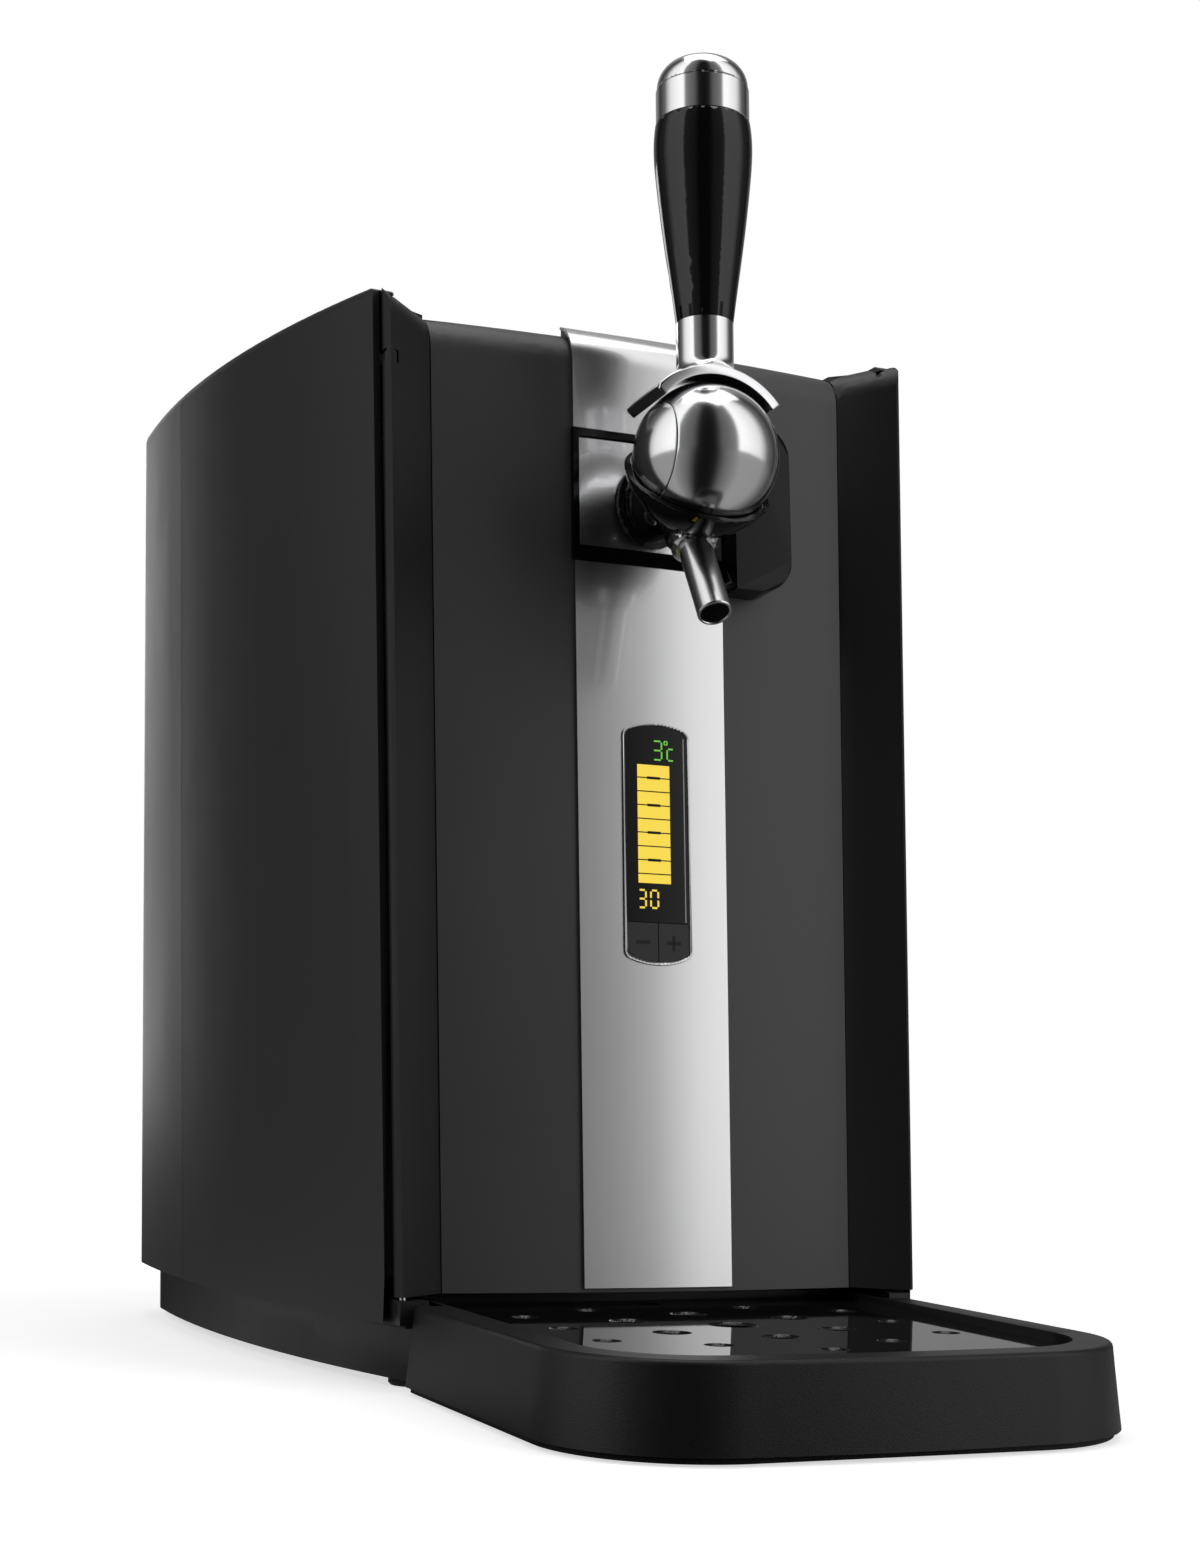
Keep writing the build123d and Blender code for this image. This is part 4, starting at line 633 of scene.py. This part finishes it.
def digit(sign, right_mm, up_mm, wide, tall, pen):
    """Bars of one seven-stroke sign about its middle."""
    side, half, quarter = wide / 2, tall / 2, tall / 4
    across, down = wide - pen * CORNER_GAP, half - pen * CORNER_GAP
    strokes = {
        "t": (0, half, across, pen), "m": (0, 0, across, pen), "b": (0, -half, across, pen),
        "L": (-side, quarter, pen, down), "M": (-side, -quarter, pen, down),
        "R": (side, quarter, pen, down), "S": (side, -quarter, pen, down),
    }
    bars = []
    for stroke in STROKES[sign]:
        aside, above, stroke_wide, stroke_tall = strokes[stroke]
        bars.append((right_mm + aside, up_mm + above, stroke_wide, stroke_tall))
    return bars


green_light = lit("green_segments", (0.16, 0.58, 0.06), glow=0.9)
yellow_light = lit("yellow_segments", (0.94, 0.70, 0.07), glow=0.92)
segments = LENS_FRONT + SEGMENT_LIFT

# the temperature, its degree ring and its unit
DEGREE_RIGHT, DEGREE_UP, DEGREE_HALF, DEGREE_PEN = 3.9, 37.6, 0.6, 0.45
degrees = digit("3", right_mm=0.5, up_mm=34.6, wide=3.4, tall=7.0, pen=0.6)
degrees += digit("c", right_mm=5.8, up_mm=35.4, wide=2.7, tall=8.6, pen=0.6)
for way in (DEGREE_HALF, -DEGREE_HALF):
    degrees.append((DEGREE_RIGHT, DEGREE_UP + way, 2 * DEGREE_HALF, DEGREE_PEN))
    degrees.append((DEGREE_RIGHT + way, DEGREE_UP, DEGREE_PEN, 2 * DEGREE_HALF))
printed("temperature_segments", degrees, segments, green_light, "door")

# the gauge: a column of lit blocks, the lowest one shorter, with a dark mark at every other line
GAUGE_LEFT, GAUGE_RIGHT, GAUGE_TOP, GAUGE_LOW = -7.7, 5.2, 29.2, -15.2
GAUGE_LINES, LAST_BLOCK, LINE = 8, 0.72, 0.45
MARK_WIDE, MARK_HIGH = 5.2, 1.0
gauge_middle, gauge_wide = (GAUGE_LEFT + GAUGE_RIGHT) / 2, GAUGE_RIGHT - GAUGE_LEFT
pitch = (GAUGE_TOP - GAUGE_LOW) / (GAUGE_LINES + LAST_BLOCK)
lines = [GAUGE_TOP - pitch * i for i in range(GAUGE_LINES + 1)]
blocks = []
for upper, lower in zip(lines, lines[1:] + [GAUGE_LOW]):
    blocks.append((gauge_middle, (upper + lower) / 2, gauge_wide, upper - lower - LINE))
printed("gauge_segments", blocks, segments, yellow_light, "door")
marks = [(gauge_middle, line, MARK_WIDE, MARK_HIGH) for line in lines[1::2]]
printed("gauge_marks", marks, LENS_FRONT + MARK_LIFT, lens_black, "door")

# a painted highlight: a thin grey bar down the lens's right edge; the number below the gauge, and the signs on the
# keys
EDGE_RIGHT, EDGE_UP, EDGE_WIDE, EDGE_TALL = 11.0, 5.4, 0.4, 68.5
printed("painted_lens_highlight", [(EDGE_RIGHT, EDGE_UP, EDGE_WIDE, EDGE_TALL)], segments, painted_lens_highlight, "door")
number = digit("3", right_mm=-6.3, up_mm=-20.8, wide=2.9, tall=6.4, pen=0.7)
number += digit("0", right_mm=-1.4, up_mm=-20.8, wide=2.9, tall=6.4, pen=0.7)
printed("number_segments", number, segments, yellow_light, "door")
KEY_RIGHT, KEY_UP, SIGN_LONG, SIGN_PEN, UPRIGHT_PEN = 6.1, -36.6, 5.6, 1.3, 1.1
key_print = KEY_FRONT + KEY_LIFT
minus = [(-KEY_RIGHT, KEY_UP, SIGN_LONG, SIGN_PEN)]
plus = [(KEY_RIGHT, KEY_UP, SIGN_LONG, SIGN_PEN), (KEY_RIGHT, KEY_UP, UPRIGHT_PEN, SIGN_LONG)]
printed("minus_sign", minus, key_print, sign_black, "minus_key")
printed("plus_sign", plus, key_print, sign_black, "plus_key")

# ---- tap arm and cup ----
# A glossy black arm comes out of the door's window, pinned by one screw, and ends in a cup
# that holds the ball from behind and below.
BALL_RADIUS = 0.0263
ARM_SCREW_Y, ARM_SCREW_Z = -0.0635, 0.3093
BESIDE = 0.1
# The cup's rim is drawn down at the front, where the ball shows deep into it.
RIM_TURN, RIM_DROP = radians(48.5), 0.0110
lever_pull = [joint for joint in frame["joints"] if joint["name"] == "lever_pull"][0]
ball = Vector(lever_pull["pos_m"])
skinned("tap_arm", black_gloss)
seat, normal = struck_from("tap_arm", (-BESIDE, ARM_SCREW_Y, ARM_SCREW_Z), (1, 0, 0))
cross_screw("arm_screw", seat, normal, pin_steel, BODY_OF["tap_arm"])
skinned("tap_cup", black_gloss)
rim_normal = Vector((0, -cos(RIM_TURN), sin(RIM_TURN)))
bpy.ops.object.mode_set(mode="EDIT")
bpy.ops.mesh.select_all(action="SELECT")
bpy.ops.mesh.bisect(
    plane_co=ball - rim_normal * RIM_DROP, plane_no=rim_normal, use_fill=True, clear_outer=True)
bpy.ops.object.mode_set(mode="OBJECT")

# ---- ball and side caps ----
# A chromed ball in three slices. The middle one is fixed to the arm, and the side caps turn
# on the lever's steel axle, a hair away from it.
CORE_SHARE, CAP_GAP, SLICE_EASE = 0.73, 0.0002, 0.00025
core_half = CORE_SHARE * BALL_RADIUS
cap_start = core_half + CAP_GAP


def ball_slice(name, cuts):
    """Part of the ball between planes square to X, with its rims slightly broken."""
    bpy.ops.mesh.primitive_uv_sphere_add(
        segments=160, ring_count=96, radius=BALL_RADIUS, location=ball, rotation=(0, pi / 2, 0))
    piece = own_mesh(name)
    bpy.ops.object.mode_set(mode="EDIT")
    for x, keep_right in cuts:
        bpy.ops.mesh.select_all(action="SELECT")
        bpy.ops.mesh.bisect(
            plane_co=(ball.x + x, ball.y, ball.z), plane_no=(1, 0, 0), use_fill=True,
            clear_inner=keep_right, clear_outer=not keep_right)
    bpy.ops.object.mode_set(mode="OBJECT")
    rims = piece.modifiers.new("rims", "BEVEL")
    rims.width = SLICE_EASE
    rims.segments = 3
    rims.limit_method = "ANGLE"
    rims.angle_limit = radians(25)
    bpy.ops.object.modifier_apply(modifier="rims")
    return piece


ball_middle = ball_slice("ball_middle", [(-core_half, True), (core_half, False)])
ready(ball_middle, chrome, "tap_core", angle=25)
ready(ball_slice("ball_left_cap", [(-cap_start, False)]), chrome, "left_side_cap", angle=25)
ready(ball_slice("ball_right_cap", [(cap_start, True)]), chrome, "right_side_cap", angle=25)
carry_over("lever_axle", pin_steel)

# ---- spout ----
# A polished steel tube that leans forward out of a chromed collar under the cup, open at its
# end, with its lip rounded over.
SPOUT_TILT = radians(33)
SPOUT_RADIUS, SPOUT_BORE = 0.0062, 0.0051
TUBE_START, TUBE_END, BORE_END = 0.0045, 0.041, 0.008
LIP_OUT, LIP_OUT_TALL, LIP_IN, LIP_IN_TALL = 0.0003, 0.0005, 0.0002, 0.0003
SPOUT_BACK, SPOUT_DOWN = 0.0125, 0.0245
spout_line = Vector((0, -sin(SPOUT_TILT), -cos(SPOUT_TILT)))
spout_root = ball + Vector((0, SPOUT_BACK, -SPOUT_DOWN))


def turned(name, rings, root, axis, finish, node):
    """A round piece, extruded ring by ring along its axis from (radius, height) pairs."""
    (radius, height), rest = rings[0], rings[1:]
    bpy.ops.mesh.primitive_circle_add(
        vertices=128, radius=radius, fill_type="NGON", location=(0, 0, height))
    bpy.ops.object.mode_set(mode="EDIT")
    bpy.ops.mesh.select_all(action="SELECT")
    for wider, higher in rest:
        bpy.ops.mesh.extrude_region_move(TRANSFORM_OT_translate={"value": (0, 0, higher - height)})
        share = wider / radius
        bpy.ops.transform.resize(value=(share, share, 1), center_override=(0, 0, higher))
        radius, height = wider, higher
    bpy.ops.mesh.select_all(action="SELECT")
    bpy.ops.mesh.normals_make_consistent(inside=False)
    bpy.ops.object.mode_set(mode="OBJECT")
    piece = own_mesh(name)
    piece.location = root
    piece.rotation_mode = "QUATERNION"
    piece.rotation_quaternion = Vector((0, 0, 1)).rotation_difference(axis)
    own_mesh(name)
    return ready(piece, finish, node, angle=25)


skinned("spout_collar", chrome)
tube = [
    (SPOUT_RADIUS, TUBE_START), (SPOUT_RADIUS, TUBE_END - LIP_OUT_TALL),
    (SPOUT_RADIUS - LIP_OUT, TUBE_END), (SPOUT_BORE + LIP_IN, TUBE_END),
    (SPOUT_BORE, TUBE_END - LIP_IN_TALL), (SPOUT_BORE, BORE_END),
]
turned("spout_tube", tube, spout_root, spout_line, mirror_steel, "spout")

# ---- lever yoke and neck ----
# A chromed yoke that arches over the ball between its side caps, and a turned neck whose
# flared foot is faced flat with the yoke's front and back, threaded on the lever's rod.
LEVER_TILT = 0.063
NECK_RADIUS, NECK_TOP = 0.0104, 0.0494
YOKE_OUTER, YOKE_HALF = 0.0308, 0.0114
FOOT_TALL, FOOT_OUT, FOOT_SUNK, FOOT_STEPS = 0.0050, 0.0042, 0.0006, 10
lever_line = Vector((0, sin(LEVER_TILT), cos(LEVER_TILT)))
lever_front = Vector((0, -cos(LEVER_TILT), sin(LEVER_TILT)))
skinned("lever_yoke", chrome)
foot = []
for step in range(FOOT_STEPS + 1):
    turn = step / FOOT_STEPS * pi / 2
    radius = NECK_RADIUS + FOOT_OUT * (1 - sin(turn))
    foot.append((radius, YOKE_OUTER - FOOT_SUNK + FOOT_TALL * (1 - cos(turn))))
neck_rings = foot + [(NECK_RADIUS, NECK_TOP)]
neck = turned("flared_neck", neck_rings, ball, lever_line, chrome, "lever_neck")
for vertex in neck.data.vertices:
    height = (vertex.co - ball).dot(lever_line)
    forward = (vertex.co - ball).dot(lever_front)
    vertex.co += lever_front * (max(min(forward, YOKE_HALF), -YOKE_HALF) - forward)
    # the foot follows the yoke's round back, and the neck is straight again at its top
    share = min(max(1 - (height - YOKE_OUTER) / (NECK_TOP - YOKE_OUTER), 0.0), 1.0)
    drop = YOKE_OUTER - (YOKE_OUTER ** 2 - (vertex.co.x - ball.x) ** 2) ** 0.5
    vertex.co -= lever_line * drop * share

# ---- lever handle ----
# A turned grip in black lacquer, closed by a chromed cap ring with eased rims and a domed
# crown, all drawn tight on the lever's rod.
CAP_RADIUS, CAP_LOW, CAP_HIGH, CAP_EASE = 0.0172, 0.12605, 0.14, 0.0006
skinned("handle_grip", black_gloss, angle=25)
cap = [
    (CAP_RADIUS - CAP_EASE, CAP_LOW), (CAP_RADIUS, CAP_LOW + CAP_EASE),
    (CAP_RADIUS, CAP_HIGH - CAP_EASE), (CAP_RADIUS - CAP_EASE, CAP_HIGH),
]
turned("chrome_cap", cap, ball, lever_line, chrome, "handle_cap")
skinned("handle_crown", chrome)

# ---- drip tray and plate ----
# A deep tray moulded in grained black plastic, and a loose plate with countersunk holes,
# polished to a black mirror, that lies on its ledge.
tray_black = grained("tray_moulding", (0.009, 0.009, 0.0097), 0.44, grain=1900, depth=0.0001)
plate_gloss = grained(
    "black_plate", (0.012, 0.012, 0.0125), 0.045, grain=800, depth=0.000003, spread=0.02,
    tone=0.05)
skinned("drip_tray", tray_black, angle=26)
skinned("drip_plate", plate_gloss, angle=10)

# ---- painted shadow band under the drip tray ----
# A narrow strip in the black rubber finish, let in under the tray's wall all the way round its
# nose: a painted shadow that darkens the gap between the tray and the table.
TRAY_HALF, TRAY_CORNER, TRAY_NOSE, TRAY_REAR = 0.0966, 0.0496, -0.2413, -0.080
BAND_IN, BAND_WIDE, BAND_LOW, BAND_HIGH = 0.0022, 0.0014, 0.0006, 0.0030
nose = TRAY_NOSE + BAND_IN
strip_middle = (nose + TRAY_REAR) / 2
bpy.ops.mesh.primitive_plane_add(size=1, location=(0, strip_middle, BAND_LOW))
bpy.context.object.scale = (2 * (TRAY_HALF - BAND_IN), TRAY_REAR - nose, 1)
shadow_band = own_mesh("tray_shadow_band")
bpy.ops.object.mode_set(mode="EDIT")
bpy.ops.mesh.select_mode(type="VERT")
bpy.ops.mesh.select_all(action="DESELECT")
bpy.ops.object.mode_set(mode="OBJECT")
for vertex in shadow_band.data.vertices:
    vertex.select = vertex.co.y < strip_middle
bpy.ops.object.mode_set(mode="EDIT")
bpy.ops.mesh.bevel(offset=TRAY_CORNER - BAND_IN, segments=24, affect="VERTICES")
bpy.ops.mesh.select_all(action="SELECT")
bpy.ops.mesh.inset(thickness=BAND_WIDE)
bpy.ops.mesh.delete(type="FACE")
bpy.ops.mesh.select_all(action="SELECT")
bpy.ops.mesh.extrude_region_move(TRANSFORM_OT_translate={"value": (0, 0, BAND_HIGH - BAND_LOW)})
bpy.ops.mesh.select_all(action="SELECT")
bpy.ops.mesh.normals_make_consistent(inside=False)
bpy.ops.object.mode_set(mode="OBJECT")
# the black rubber finish gives the strip the dark of the painted shadow under the tray
shadow_band.data.materials.append(rubber)
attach(shadow_band, BODY_OF["drip_tray"])
